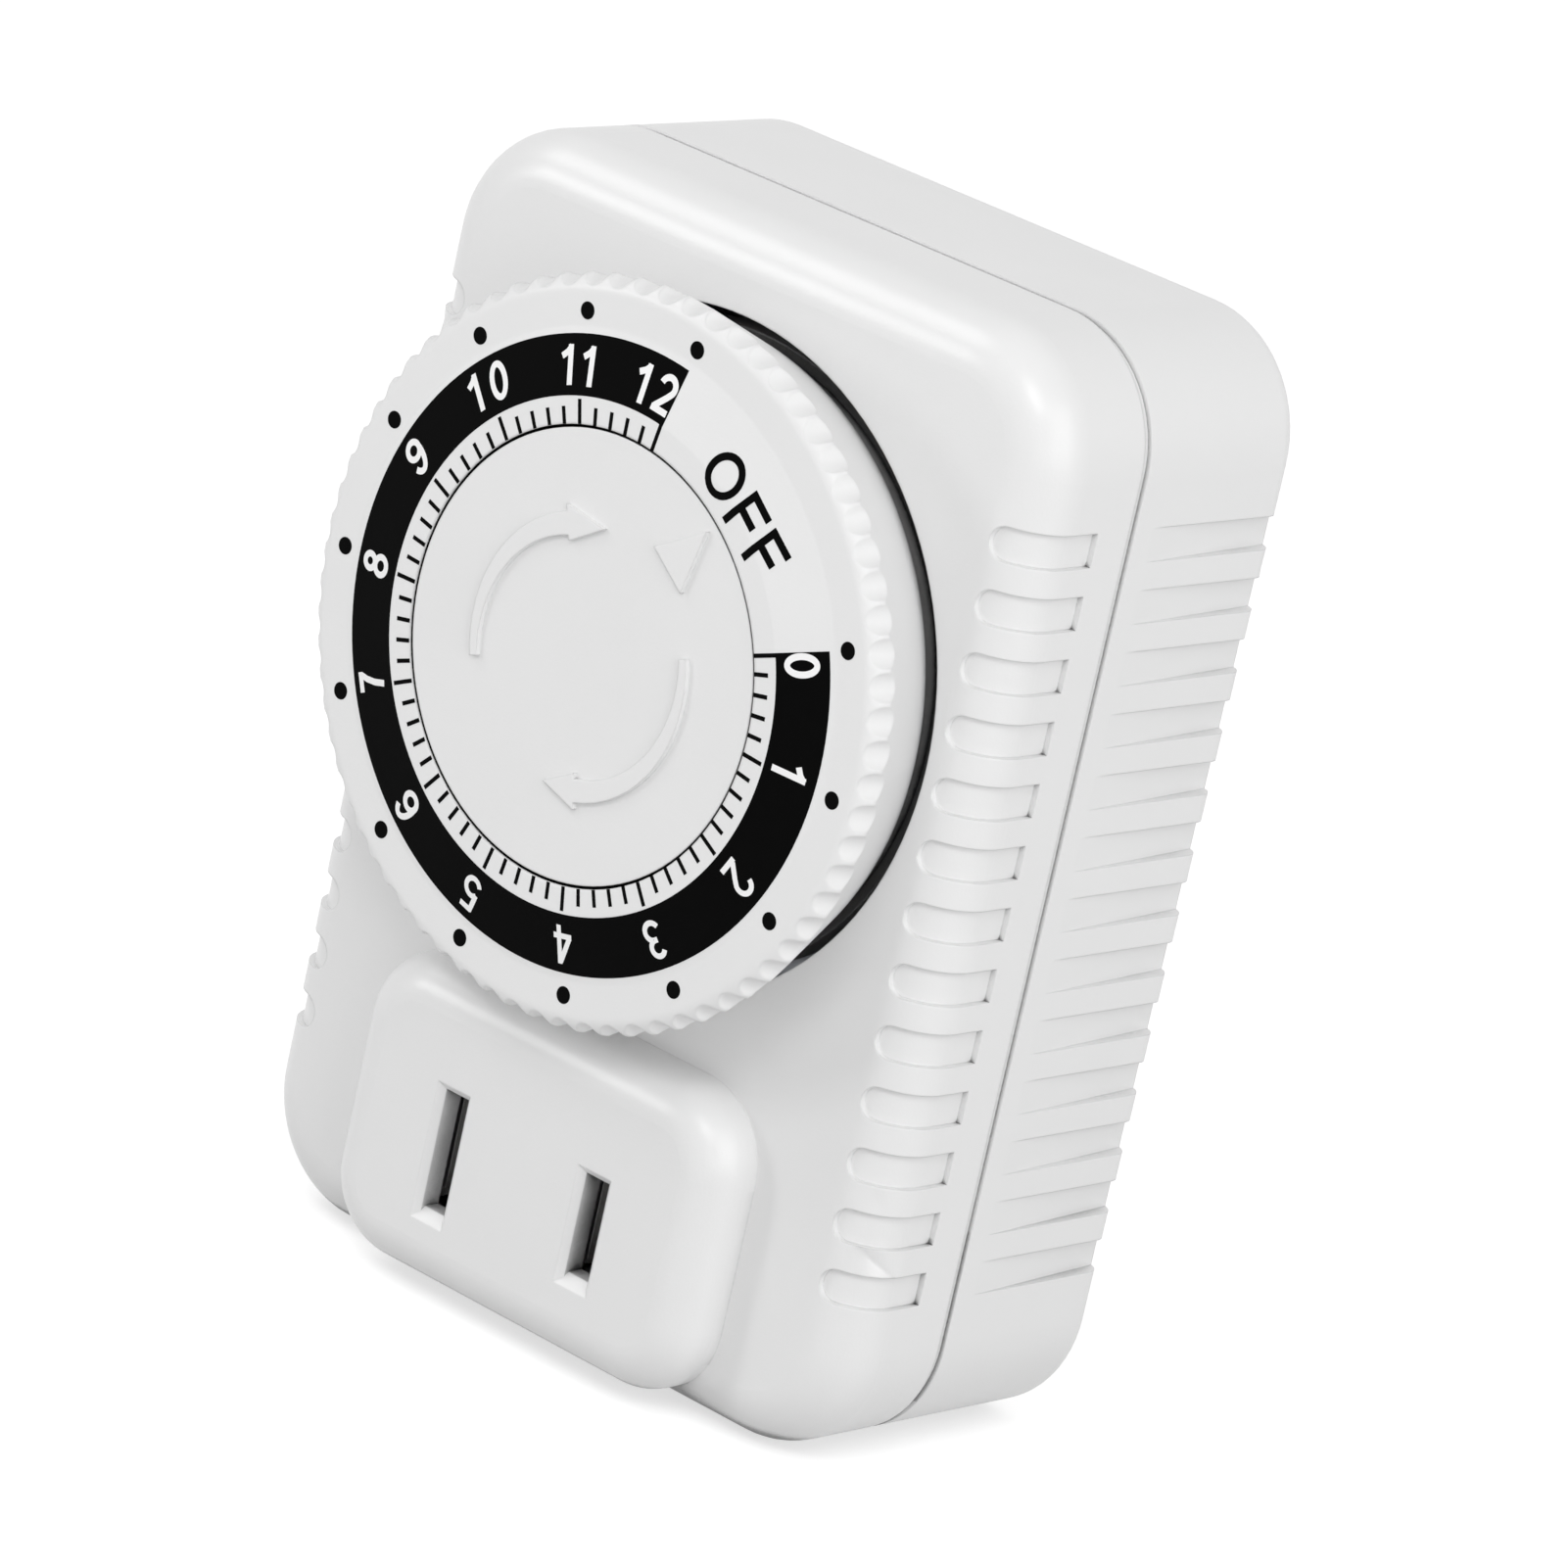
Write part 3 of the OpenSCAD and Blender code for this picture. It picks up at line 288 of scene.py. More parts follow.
class LevelBand(EffectGroup):
    """The part of a piece that lies level with the outlet's slots."""

    title = "level_band"
    inputs = (("Half", 0.006),)
    outputs = (("Mask", "Float"),)

    def build(self) -> None:
        """Marks the heights within the band's half width of the origin."""
        g = self.graph
        place = g.add("SeparateXYZ", {0: self.place_coords()})
        height = g.math("ABSOLUTE", place.outputs["Z"])
        self.send("Mask", g.math("LESS_THAN", height, self.given["Half"]))


class WorkedMetal(EffectGroup):
    """Fine lines of a rolled, brushed or turned metal, and its cloudy tone."""

    title = "worked_metal"
    inputs = (("Line", 0.00008), ("Cloud", 0.003), ("X", 1.0), ("Y", 1.0), ("Z", 1.0))
    outputs = (("Height", "Float"), ("Tone", "Float"))
    line_detail = 2.0
    cloud_detail = 3.0

    def build(self) -> None:
        """Stretches a fine noise along the lay and adds a slow cloud."""
        g, coords = self.graph, self.place_coords()
        lay = g.add("CombineXYZ", {axis: self.given[axis] for axis in "XYZ"})
        along = g.add("VectorMath", {0: coords, 1: lay.outputs[0]}, operation="MULTIPLY")
        lines = g.add("TexNoise", {"Vector": along.outputs[0], "Detail": self.line_detail,
                                   "Scale": g.math("DIVIDE", 1.0, self.given["Line"])})
        cloud = g.add("TexNoise", {"Vector": coords, "Detail": self.cloud_detail,
                                   "Scale": g.math("DIVIDE", 1.0, self.given["Cloud"])})
        both = g.math("ADD", lines.outputs[0], cloud.outputs[0])
        self.send("Height", lines.outputs[0])
        self.send("Tone", g.math("MULTIPLY", both, 0.5))


@dataclass(frozen=True)
class Effects:
    """The shared effect groups, each built once."""

    grain: MouldedGrain = field(default_factory=MouldedGrain)
    specks: Specks = field(default_factory=Specks)
    edges: SoftEdges = field(default_factory=SoftEdges)
    crevices: Crevices = field(default_factory=Crevices)
    band: LevelBand = field(default_factory=LevelBand)
    metal: WorkedMetal = field(default_factory=WorkedMetal)


# ---- Finishes --------------------------------------------------------------------------------


def scaled(colour: Colour, share: float) -> Colour:
    """Makes a colour lighter or darker.

    Args:
        colour: The colour.
        share: What each of its values is multiplied by.

    Returns:
        The changed colour.
    """
    return (colour[0] * share, colour[1] * share, colour[2] * share)


@dataclass(frozen=True)
class Finish:
    """What every finish has: a colour, a roughness and a name for its material."""

    name: str
    colour: Colour
    roughness: float

    def shader(self) -> tuple[bpy.types.Material, Graph, bpy.types.Node]:
        """Starts the material.

        Returns:
            The material, the graph of its tree and its Principled BSDF.
        """
        material = bpy.data.materials.new(self.name)
        material.use_nodes = True
        material.diffuse_color = (*self.colour, 1.0)
        surface = material.node_tree.nodes["Principled BSDF"]
        surface.inputs["Base Color"].default_value = (*self.colour, 1.0)
        surface.inputs["Roughness"].default_value = self.roughness
        return material, Graph(material.node_tree), surface

    def material(self, effects: Effects) -> bpy.types.Material:
        """Builds the material.

        Args:
            effects: The shared effect groups.

        Returns:
            The material.
        """
        raise NotImplementedError


@dataclass(frozen=True)
class Plastic(Finish):
    """Moulded plastic with grain, specks, soft edges and painted shade in its crevices."""

    grain_size: float = 0.00022
    grain_bump: float = 0.05
    grain_depth: float = 0.0002
    wave: float = 0.009
    tone: float = 0.03
    gloss_spread: float = 0.06
    speck_share: float = 0.12
    speck_spacing: float = 0.0045
    speck_radius: float = 0.00011
    speck_colour: Colour = (0.16, 0.15, 0.13)
    edge_radius: float = 0.0002
    edge_polish: float = 0.06
    # Painted shade: crevices and gaps are darkened towards shade_colour, within shade_reach and
    # shade_span.
    shade_colour: Colour = (0.01, 0.01, 0.01)
    shade_reach: float = 0.0035
    shade_span: Point = (0.08, 0.34)
    slot_shade_half: float = 0.0
    slot_shade_reach: float = 0.005
    slot_shade_span: Point = (0.24, 0.46)
    specular: float = 0.5

    def material(self, effects: Effects) -> bpy.types.Material:
        """Builds the plastic's material.

        Args:
            effects: The shared effect groups.

        Returns:
            The material.
        """
        material, g, surface = self.shader()
        grain = effects.grain.place(g, size=self.grain_size, wave=self.wave)
        specks = effects.specks.place(g, spacing=self.speck_spacing, radius=self.speck_radius,
                                      share=self.speck_share)
        edges = effects.edges.place(g, radius=self.edge_radius)
        # Painted shade: the crevice mask darkens the colour where surfaces close in.
        shut, clear = self.shade_span
        shade = effects.crevices.place(g, reach=self.shade_reach, shut=shut, open=clear)["Mask"]
        # Deeper painted shade inside the outlet's slots, in the band level with them.
        if self.slot_shade_half:
            shut, clear = self.slot_shade_span
            slot_shade = effects.crevices.place(g, reach=self.slot_shade_reach, shut=shut, open=clear)
            level = effects.band.place(g, half=self.slot_shade_half)
            shade = g.math("MAXIMUM", shade, g.math("MULTIPLY", slot_shade["Mask"], level["Mask"]))
        colour = g.blend(grain["Tone"], scaled(self.colour, 1.0 - self.tone), self.colour)
        colour = g.blend(specks["Mask"], colour, self.speck_colour)
        colour = g.blend(shade, colour, self.shade_colour)
        rough = g.math("SUBTRACT", self.roughness + self.gloss_spread / 2,
                       g.math("MULTIPLY", grain["Tone"], self.gloss_spread))
        rough = g.math("SUBTRACT", rough, g.math("MULTIPLY", edges["Mask"], self.edge_polish))
        bump = g.add("Bump", {"Strength": self.grain_bump, "Distance": self.grain_depth,
                              "Height": grain["Height"], "Normal": edges["Normal"]})
        surface.inputs["Specular IOR Level"].default_value = self.specular
        # The painted shade mask also feeds Metallic, so that the dark colour darkens the reflection
        # in crevices too.
        g.feed(surface, {"Base Color": colour, "Roughness": rough, "Metallic": shade,
                         "Normal": bump.outputs[0]})
        return material


@dataclass(frozen=True)
class Ink(Finish):
    """Pad-printed ink: a thin even film, a little mottled."""

    specular: float = 0.02
    mottle: float = 1.6
    grain_size: float = 0.0002
    wave: float = 0.0012
    gloss_spread: float = 0.1
    bump: float = 0.06
    bump_depth: float = 0.0001

    def material(self, effects: Effects) -> bpy.types.Material:
        """Builds the ink's material.

        Args:
            effects: The shared effect groups.

        Returns:
            The material.
        """
        material, g, surface = self.shader()
        grain = effects.grain.place(g, size=self.grain_size, wave=self.wave)
        colour = g.blend(grain["Tone"], self.colour, scaled(self.colour, self.mottle))
        rough = g.math("ADD", self.roughness - self.gloss_spread / 2,
                       g.math("MULTIPLY", grain["Tone"], self.gloss_spread))
        bump = g.add("Bump", {"Strength": self.bump, "Distance": self.bump_depth,
                              "Height": grain["Height"]})
        surface.inputs["Specular IOR Level"].default_value = self.specular
        g.feed(surface, {"Base Color": colour, "Roughness": rough, "Normal": bump.outputs[0]})
        return material


@dataclass(frozen=True)
class Metal(Finish):
    """Worked metal with fine lines along its lay, bright edges and a darker colour in corners."""

    lay: Lay = Lay.EVEN
    line: float = 0.00008
    bump: float = 0.08
    bump_depth: float = 0.00005
    tones: Point = (0.85, 1.08)
    gloss_spread: float = 0.16
    edge_radius: float = 0.00006
    edge_tone: float = 1.15
    corner_reach: float = 0.0008
    corner_span: Point = (0.2, 0.8)
    corner_share: float = 0.5
    corner_tone: float = 0.45

    def material(self, effects: Effects) -> bpy.types.Material:
        """Builds the metal's material.

        Args:
            effects: The shared effect groups.

        Returns:
            The material.
        """
        material, g, surface = self.shader()
        x, y, z = self.lay.value
        worked = effects.metal.place(g, line=self.line, x=x, y=y, z=z)
        edges = effects.edges.place(g, radius=self.edge_radius)
        # The colour is made darker where surfaces close in, after the occlusion mask.
        shut, clear = self.corner_span
        film = effects.crevices.place(g, reach=self.corner_reach, shut=shut, open=clear)
        dark, light = (scaled(self.colour, tone) for tone in self.tones)
        colour = g.blend(worked["Tone"], dark, light)
        colour = g.blend(edges["Mask"], colour, scaled(self.colour, self.edge_tone))
        colour = g.blend(g.math("MULTIPLY", film["Mask"], self.corner_share), colour,
                         scaled(self.colour, self.corner_tone))
        rough = g.math("ADD", self.roughness - self.gloss_spread / 2,
                       g.math("MULTIPLY", worked["Tone"], self.gloss_spread))
        bump = g.add("Bump", {"Strength": self.bump, "Distance": self.bump_depth,
                              "Height": worked["Height"], "Normal": edges["Normal"]})
        surface.inputs["Metallic"].default_value = 1.0
        g.feed(surface, {"Base Color": colour, "Roughness": rough, "Normal": bump.outputs[0]})
        return material


# The plastics' shade_colour, shade_span and slot_shade_half settings paint shade into their colour
# in gaps, slots and crevices.
FINISHES: dict[str, Finish] = {
    "white_shell": Plastic("shell_plastic", (0.80, 0.80, 0.80), 0.30, specular=0.6,
                           shade_span=(0.25, 0.36), slot_shade_half=0.006),
    "white_dial": Plastic("dial_plastic", (0.82, 0.82, 0.82), 0.36, speck_share=0.08,
                          edge_radius=0.0003, shade_span=(0.33, 0.42)),
    "white_disc": Plastic("disc_plastic", (0.82, 0.82, 0.82), 0.36, speck_share=0.08,
                          shade_colour=(0.22, 0.22, 0.22)),
    "grey_cam": Plastic("cam_plastic", (0.35, 0.35, 0.35), 0.45, tone=0.06, speck_share=0.0),
    "acetal": Plastic("acetal_plastic", (0.82, 0.78, 0.67), 0.36, tone=0.05, speck_share=0.05,
                      edge_radius=0.00008, shade_colour=(0.10, 0.08, 0.05),
                      shade_reach=0.0012),
    "amber_plastic": Plastic("amber_plastic_cast", (0.58, 0.34, 0.06), 0.38, tone=0.12,
                             speck_share=0.3, shade_colour=(0.06, 0.03, 0.01),
                             shade_reach=0.001),
    "wire_cover": Plastic("wire_vinyl", (0.78, 0.78, 0.74), 0.5, grain_size=0.0005,
                          speck_share=0.0, edge_radius=0.00005, shade_reach=0.0006),
    "zinc_steel": Metal("zinc_plate", (0.60, 0.62, 0.66), 0.36),
    "bright_steel": Metal("turned_steel", (0.66, 0.67, 0.69), 0.26, line=0.00005, bump=0.05),
    "spring_steel": Metal("tempered_steel", (0.40, 0.41, 0.44), 0.32, line=0.00006),
    "gear_brass": Metal("turned_brass", (0.76, 0.56, 0.25), 0.30, line=0.00005),
    "blade_brass": Metal("nickel_plate", (0.70, 0.68, 0.63), 0.24, lay=Lay.ALONG_BLADE),
    "strip_brass": Metal("rolled_brass", (0.76, 0.57, 0.28), 0.36, lay=Lay.UPRIGHT),
    "clip_plate": Metal("tin_plate", (0.55, 0.55, 0.54), 0.38, lay=Lay.ALONG_BLADE),
    "rivet_brass": Metal("headed_brass", (0.74, 0.56, 0.30), 0.33),
    "leaf_bronze": Metal("rolled_bronze", (0.70, 0.43, 0.25), 0.30, lay=Lay.ALONG_BLADE),
    "contact_silver": Metal("contact_alloy", (0.80, 0.80, 0.81), 0.22, line=0.0001),
}
BLACK_INK = Ink("black_ink", (0.0015, 0.0015, 0.0015), 0.55)
WHITE_INK = Ink("white_ink", (0.93, 0.93, 0.93), 0.5, specular=0.3, mottle=0.98)


# ---- Sub-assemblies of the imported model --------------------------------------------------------


@dataclass
class Assembly:
    """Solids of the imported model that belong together, each with the slot of its finish."""

    title: str
    nodes: dict[str, str]

    def dress(self, materials: dict[str, bpy.types.Material]) -> None:
        """Gives each solid its finish.

        Args:
            materials: The finished material of each slot.
        """
        for node, slot in self.nodes.items():
            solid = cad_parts[node]
            solid.data.materials.clear()
            solid.data.materials.append(materials[slot])
            log.info("%s: %s finished as %s", self.title, node, slot)


@dataclass
class Case(Assembly):
    """Both covers with the screws that close them."""

    title: str = "case"
    nodes: dict[str, str] = field(default_factory=lambda: {
        "front_cover": "white_shell", "rear_cover": "white_shell", "case_screws": "zinc_steel"})


@dataclass
class SettingGroup(Assembly):
    """The dial, its cam and clutch, and the fixed disc on the centre post."""

    title: str = "setting"
    nodes: dict[str, str] = field(default_factory=lambda: {
        "dial": "white_dial", "pointer_disc": "white_disc", "switch_cam": "grey_cam",
        "centre_post": "bright_steel", "drive_collar": "bright_steel",
        "clutch_spring": "spring_steel"})


@dataclass
class Movement(Assembly):
    """Wheels and pinions between two plates."""

    title: str = "movement"
    nodes: dict[str, str] = field(default_factory=lambda: {
        "main_wheel": "acetal", "second_wheel": "acetal", "first_wheel": "acetal",
        "second_pinion": "gear_brass", "first_pinion": "gear_brass",
        "drive_pinion": "gear_brass", "rear_plate": "zinc_steel", "front_plate": "zinc_steel",
        "plate_pillars": "gear_brass", "plate_screws": "zinc_steel"})


@dataclass
class Motor(Assembly):
    """The motor with its flange, terminals and leads."""

    title: str = "motor"
    nodes: dict[str, str] = field(default_factory=lambda: {
        "motor_can": "zinc_steel", "motor_flange": "zinc_steel", "motor_screws": "zinc_steel",
        "terminal_block": "amber_plastic", "terminal_pins": "strip_brass",
        "line_lead": "wire_cover", "neutral_lead": "wire_cover"})


@dataclass
class Conductors(Assembly):
    """Blades, clips and strips from the plug to the outlet."""

    title: str = "conductors"
    nodes: dict[str, str] = field(default_factory=lambda: {
        "line_blade": "blade_brass", "neutral_blade": "blade_brass",
        "line_clip": "clip_plate", "neutral_clip": "clip_plate",
        "line_strip": "strip_brass", "neutral_strip": "strip_brass",
        "switched_strip": "strip_brass"})


@dataclass
class Switch(Assembly):
    """The sprung leaf and the two contacts that it closes."""

    title: str = "switch"
    nodes: dict[str, str] = field(default_factory=lambda: {
        "contact_leaf": "leaf_bronze", "moving_contact": "contact_silver",
        "fixed_contact": "contact_silver", "leaf_rivet": "rivet_brass"})


# ---- Print on the dial -------------------------------------------------------------------------

# Degrees between the points of a round line, a ring and a spot.
ARC_STEP = 12.0
RING_STEP = 2.0
SPOT_STEP = 15
# Points that stand closer, in millimetres, are one point.
CLOSE = 1e-6


def direction(angle: float) -> Vector:
    """Finds the unit vector of an angle.

    Args:
        angle: The angle in degrees, anticlockwise from three o'clock.

    Returns:
        The unit vector.
    """
    return Vector((math.cos(math.radians(angle)), math.sin(math.radians(angle))))


def arc(centre: Point, radii: Point, start: float, end: float) -> list[Point]:
    """Lays points on a part of an ellipse.

    Args:
        centre: Its centre.
        radii: Its half width and half height.
        start: First angle in degrees.
        end: Last angle in degrees.

    Returns:
        The points, no further apart than ARC_STEP.
    """
    steps = max(2, math.ceil(abs(end - start) / ARC_STEP))
    angles = [start + (end - start) * i / steps for i in range(steps + 1)]
    return [(centre[0] + radii[0] * direction(a).x, centre[1] + radii[1] * direction(a).y)
            for a in angles]


def turned_over(path: Sequence[Point], middle: Point) -> list[Point]:
    """Turns a path by half a turn.

    Args:
        path: The path.
        middle: The point it turns about.

    Returns:
        The turned path.
    """
    return [(2 * middle[0] - x, 2 * middle[1] - y) for x, y in path]


BOWL = arc((0.31, 0.30), (0.225, 0.225), 0, 360)
HOOK = arc((0.345, 0.42), (0.26, 0.505), 192, 38)

# Middle lines of the figures and letters, in heights of a figure, from its lower left corner.
STROKES: dict[str, list[list[Point]]] = {
    "0": [arc((0.31, 0.5), (0.225, 0.425), 0, 360)],
    "1": [[(0.37, 0.0), (0.37, 1.0)], [(0.40, 0.96), (0.27, 0.82), (0.09, 0.72)]],
    "2": [arc((0.315, 0.69), (0.225, 0.235), 172, -25) + [(0.40, 0.43), (0.13, 0.12)],
          [(0.04, 0.075), (0.58, 0.075)]],
    "3": [arc((0.30, 0.72), (0.20, 0.205), 155, -78), [(0.22, 0.515), (0.34, 0.515)],
          arc((0.305, 0.295), (0.225, 0.22), 78, -158)],
    "4": [[(0.43, 0.0), (0.43, 1.0)], [(0.41, 0.95), (0.09, 0.31)],
          [(0.02, 0.275), (0.61, 0.275)]],
    "5": [[(0.14, 0.925), (0.55, 0.925)], [(0.18, 0.97), (0.125, 0.46)],
          arc((0.30, 0.315), (0.24, 0.24), 138, -158)],
    "6": [BOWL, HOOK],
    "7": [[(0.05, 0.925), (0.57, 0.925)],
          [(0.50, 0.90), (0.38, 0.68), (0.28, 0.38), (0.22, 0.0)]],
    "8": [arc((0.31, 0.735), (0.185, 0.19), 0, 360), arc((0.31, 0.295), (0.225, 0.22), 0, 360)],
    "9": [turned_over(BOWL, (0.31, 0.5)), turned_over(HOOK, (0.31, 0.5))],
    "O": [arc((0.46, 0.5), (0.385, 0.43), 0, 360)],
    "F": [[(0.075, 0.0), (0.075, 1.0)], [(0.0, 0.925), (0.69, 0.925)],
          [(0.0, 0.52), (0.62, 0.52)]],
}
# Where a sign's middle lies, on the same measure.
MIDDLES = {"1": 0.28, "F": 0.075, "O": 0.46}
USUAL_MIDDLE = 0.31


@dataclass
class Stencil:
    """Flat outlines on the dial, in millimetres from its axis, made of convex patches."""

    corners: list[Point] = field(default_factory=list)
    patches: list[list[int]] = field(default_factory=list)

    def patch(self, points: Iterable[Point]) -> None:
        """Adds one convex patch.

        Args:
            points: Its corners, in order.
        """
        first = len(self.corners)
        self.corners.extend((p[0], p[1]) for p in points)
        self.patches.append(list(range(first, len(self.corners))))

    def stroke(self, path: Sequence[Point], width: float) -> None:
        """Adds a stroke of even width.

        Args:
            path: Its middle line. A path that ends where it starts is a ring.
            width: Its width.
        """
        points = [Vector(p) for p in path]
        closed = (points[0] - points[-1]).length < CLOSE
        before = [points[-2] if closed else points[0], *points[:-1]]
        after = [*points[1:], points[1] if closed else points[-1]]
        sides = []
        for start, end in zip(before, after):
            run = (end - start).normalized()
            sides.append(Vector((-run.y, run.x)) * width / 2)
        for i in range(len(points) - 1):
            self.patch([points[i] - sides[i], points[i + 1] - sides[i + 1],
                        points[i + 1] + sides[i + 1], points[i] + sides[i]])

    def ring_part(self, inner: float, outer: float, start: float, end: float) -> None:
        """Adds a part of a ring, in steps of about RING_STEP.

        Args:
            inner: Its inner radius.
            outer: Its outer radius.
            start: First angle in degrees.
            end: Last angle in degrees.
        """
        steps = max(1, round(abs(end - start) / RING_STEP))
        for i in range(steps):
            a, b = (direction(start + (end - start) * k / steps) for k in (i, i + 1))
            self.patch([inner * a, outer * a, outer * b, inner * b])

    def spot(self, centre: Vector, radius: float) -> None:
        """Adds a round spot.

        Args:
            centre: Its centre.
            radius: Its radius.
        """
        self.patch([centre + radius * direction(a) for a in range(0, 360, SPOT_STEP)])

    def sign(self, char: str, foot: Vector, up: float, height: float, weight: float) -> None:
        """Adds a figure or letter.

        Args:
            char: The figure or letter.
            foot: The point under its middle, on its base line.
            up: The direction of its top, in degrees.
            height: Its height.
            weight: Width of its strokes.
        """
        across, rise = direction(up - 90), direction(up)
        middle = MIDDLES.get(char, USUAL_MIDDLE)
        for path in STROKES[char]:
            self.stroke([foot + (x - middle) * height * across + y * height * rise
                         for x, y in path], weight)


@dataclass
class DialPrint:
    """The black print on the dial's face and the white hour figures in its band."""

    axis_z: float = 36.3
    face_depth: float = 31.7
    crown_depth: float = 32.4
    crown_r: float = 16.1
    slope_r: float = 20.4
    band_r: Point = (16.15, 19.95)
    zero_dir: float = 20.7
    hour_step: float = 25.0
    hours: int = 12
    figure_height: float = 2.5
    # Each sign with its direction, the radius of its middle and the width of its strokes.
    figures_at: tuple[tuple[str, float, float, float], ...] = (
        ("0", 18.1, 18.0, 0.42), ("1", -2.9, 17.96, 0.42), ("2", -28.6, 18.09, 0.36),
        ("3", -54.6, 18.09, 0.36), ("4", -79.2, 18.13, 0.36), ("5", -105.5, 18.13, 0.37),
        ("6", -129.1, 18.22, 0.41), ("7", -155.3, 18.17, 0.42), ("8", -179.0, 18.2, 0.42),
        ("9", 156.2, 18.18, 0.42), ("1", 135.5, 18.14, 0.42), ("0", 128.7, 18.14, 0.42),
        ("1", 109.8, 18.02, 0.42), ("1", 104.2, 17.96, 0.42), ("1", 89.7, 17.89, 0.42),
        ("2", 83.4, 17.93, 0.42))
    tick_in_r: float = 14.4
    tick_out_r: float = 15.5
    hour_tick_out_r: float = 15.95
    tick_width: float = 0.27
    ticks_per_hour: int = 5
    dot_r: float = 21.35
    dot_radius: float = 0.56
    tick_overlap: float = 0.05
    word_letters: str = "OFF"
    word_up: float = 51.0
    word_foot: float = 15.0
    word_height: float = 3.05
    word_weight: float = 0.49
    word_places: tuple[float, ...] = (-2.85, -0.63, 2.03)
    crest_step: int = 2
    lift: float = 0.02
    sink: float = 0.01

    def depth(self, r: float) -> float:
        """Finds the depth of the dial's face.

        Args:
            r: Distance from the dial's axis.

        Returns:
            The depth there.
        """
        share = (self.slope_r - r) / (self.slope_r - self.crown_r)
        return self.face_depth + (self.crown_depth - self.face_depth) * min(1.0, max(0.0, share))

    def hour_dir(self, hour: float) -> float:
        """Finds the direction of an hour on the dial.

        Args:
            hour: The hour, which can lie between two figures.

        Returns:
            Its direction in degrees.
        """
        return self.zero_dir - self.hour_step * hour

    def piece(self, name: str, drawn: Stencil, ink: bpy.types.Material,
              bare: Stencil | None = None) -> bpy.types.Object:
        """Makes a film of ink that follows the dial's face.

        Args:
            name: The piece's name.
            drawn: Where there is ink.
            ink: Its material.
            bare: Where the ink is left open.

        Returns:
            The piece, which rides on the dial.
        """
        points = [Vector(c) for c in drawn.corners]
        faces = [list(p) for p in drawn.patches]
        if bare:
            faces += [[k + len(points) for k in p] for p in bare.patches]
            points += [Vector(c) for c in bare.corners]
        # The ring where the face starts to slope is cut in, so that the film can bend there.
        crest = [self.crown_r * direction(a) for a in range(0, 361, self.crest_step)]
        edges = [(len(points) + i, len(points) + i + 1) for i in range(len(crest) - 1)]
        flat, _, cells, _, _, origins = delaunay_2d_cdt(points + crest, edges, faces, 0, CLOSE)
        # A triangle stays where it comes from a drawn patch and from no bare one.
        limit = len(drawn.patches)
        kept = [c for c, o in zip(cells, origins) if o and max(o) < limit]
        return self.film(name, flat, kept, ink)

    def film(self, name: str, flat: Sequence[Vector], cells: Sequence[Sequence[int]],
             ink: bpy.types.Material) -> bpy.types.Object:
        """Makes a closed thin solid from triangles in the dial's plane.

        Args:
            name: The piece's name.
            flat: Corners in the dial's plane.
            cells: The triangles.
            ink: Its material.

        Returns:
            The piece, which rides on the dial.
        """
        used = sorted({k for cell in cells for k in cell})
        place = {k: i for i, k in enumerate(used)}
        count = len(used)
        corners = [self.on_face(flat[k], rise) for rise in (self.lift, -self.sink) for k in used]
        front = []
        for cell in cells:
            a, b, c = (flat[k] for k in cell)
            ring = [place[k] for k in cell]
            front.append(ring if (b - a).cross(c - a) > 0 else ring[::-1])
        # An edge that runs only one way belongs to one triangle, so it gets a wall.
        rims = {(t[i], t[(i + 1) % 3]) for t in front for i in range(3)}
        walls = [(b, a, a + count, b + count) for a, b in sorted(rims) if (b, a) not in rims]
        back = [[k + count for k in reversed(t)] for t in front]
        mesh = bpy.data.meshes.new(name)
        mesh.from_pydata(corners, [], front + back + walls)
        mesh.materials.append(ink)
        mesh.validate()
        made = bpy.data.objects.new(name, mesh)
        bpy.context.scene.collection.objects.link(made)
        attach(made, Body.DIAL.value)
        log.info("print: %s made of %d triangles", name, len(front))
        return made

    def on_face(self, flat: Vector, rise: float) -> Vector:
        """Lifts a point of the dial's plane onto its face.

        Args:
            flat: The point, in millimetres from the dial's axis.
            rise: How far it stands in front of the face.

        Returns:
            The point in metres.
        """
        return Vector((flat.x, -self.depth(flat.length) - rise, flat.y + self.axis_z)) * MM

    def figures(self) -> Stencil:
        """Draws the hour figures.

        Returns:
            Their outlines.
        """
        stencil = Stencil()
        for char, angle, centre_r, weight in self.figures_at:
            foot = (centre_r - self.figure_height / 2) * direction(angle)
            stencil.sign(char, foot, angle, self.figure_height, weight)
        return stencil

    def band(self) -> Stencil:
        """Draws the band that runs from the first to the last hour.

        Returns:
            Its outline.
        """
        stencil = Stencil()
        stencil.ring_part(*self.band_r, self.hour_dir(self.hours), self.hour_dir(0))
        return stencil

    def ticks(self) -> Stencil:
        """Draws the division lines.

        Returns:
            Their outlines.
        """
        stencil = Stencil()
        for i in range(self.hours * self.ticks_per_hour + 1):
            hour, part = divmod(i, self.ticks_per_hour)
            outer = self.tick_out_r if part else self.hour_tick_out_r
            nudge = 0.0
            # The first and the last line reach the band and stand inside its ends.
            if part == 0 and hour in (0, self.hours):
                outer = self.band_r[0] + self.tick_overlap
                nudge = self.tick_width / 2 * (1 if hour else -1)
            line = direction(self.hour_dir(i / self.ticks_per_hour))
            side = Vector((-line.y, line.x)) * nudge
            stencil.stroke([self.tick_in_r * line + side, outer * line + side], self.tick_width)
        return stencil

    def dots(self) -> Stencil:
        """Draws the dots at the hours.

        Returns:
            Their outlines.
        """
        stencil = Stencil()
        for hour in range(self.hours + 1):
            stencil.spot(self.dot_r * direction(self.hour_dir(hour)), self.dot_radius)
        return stencil

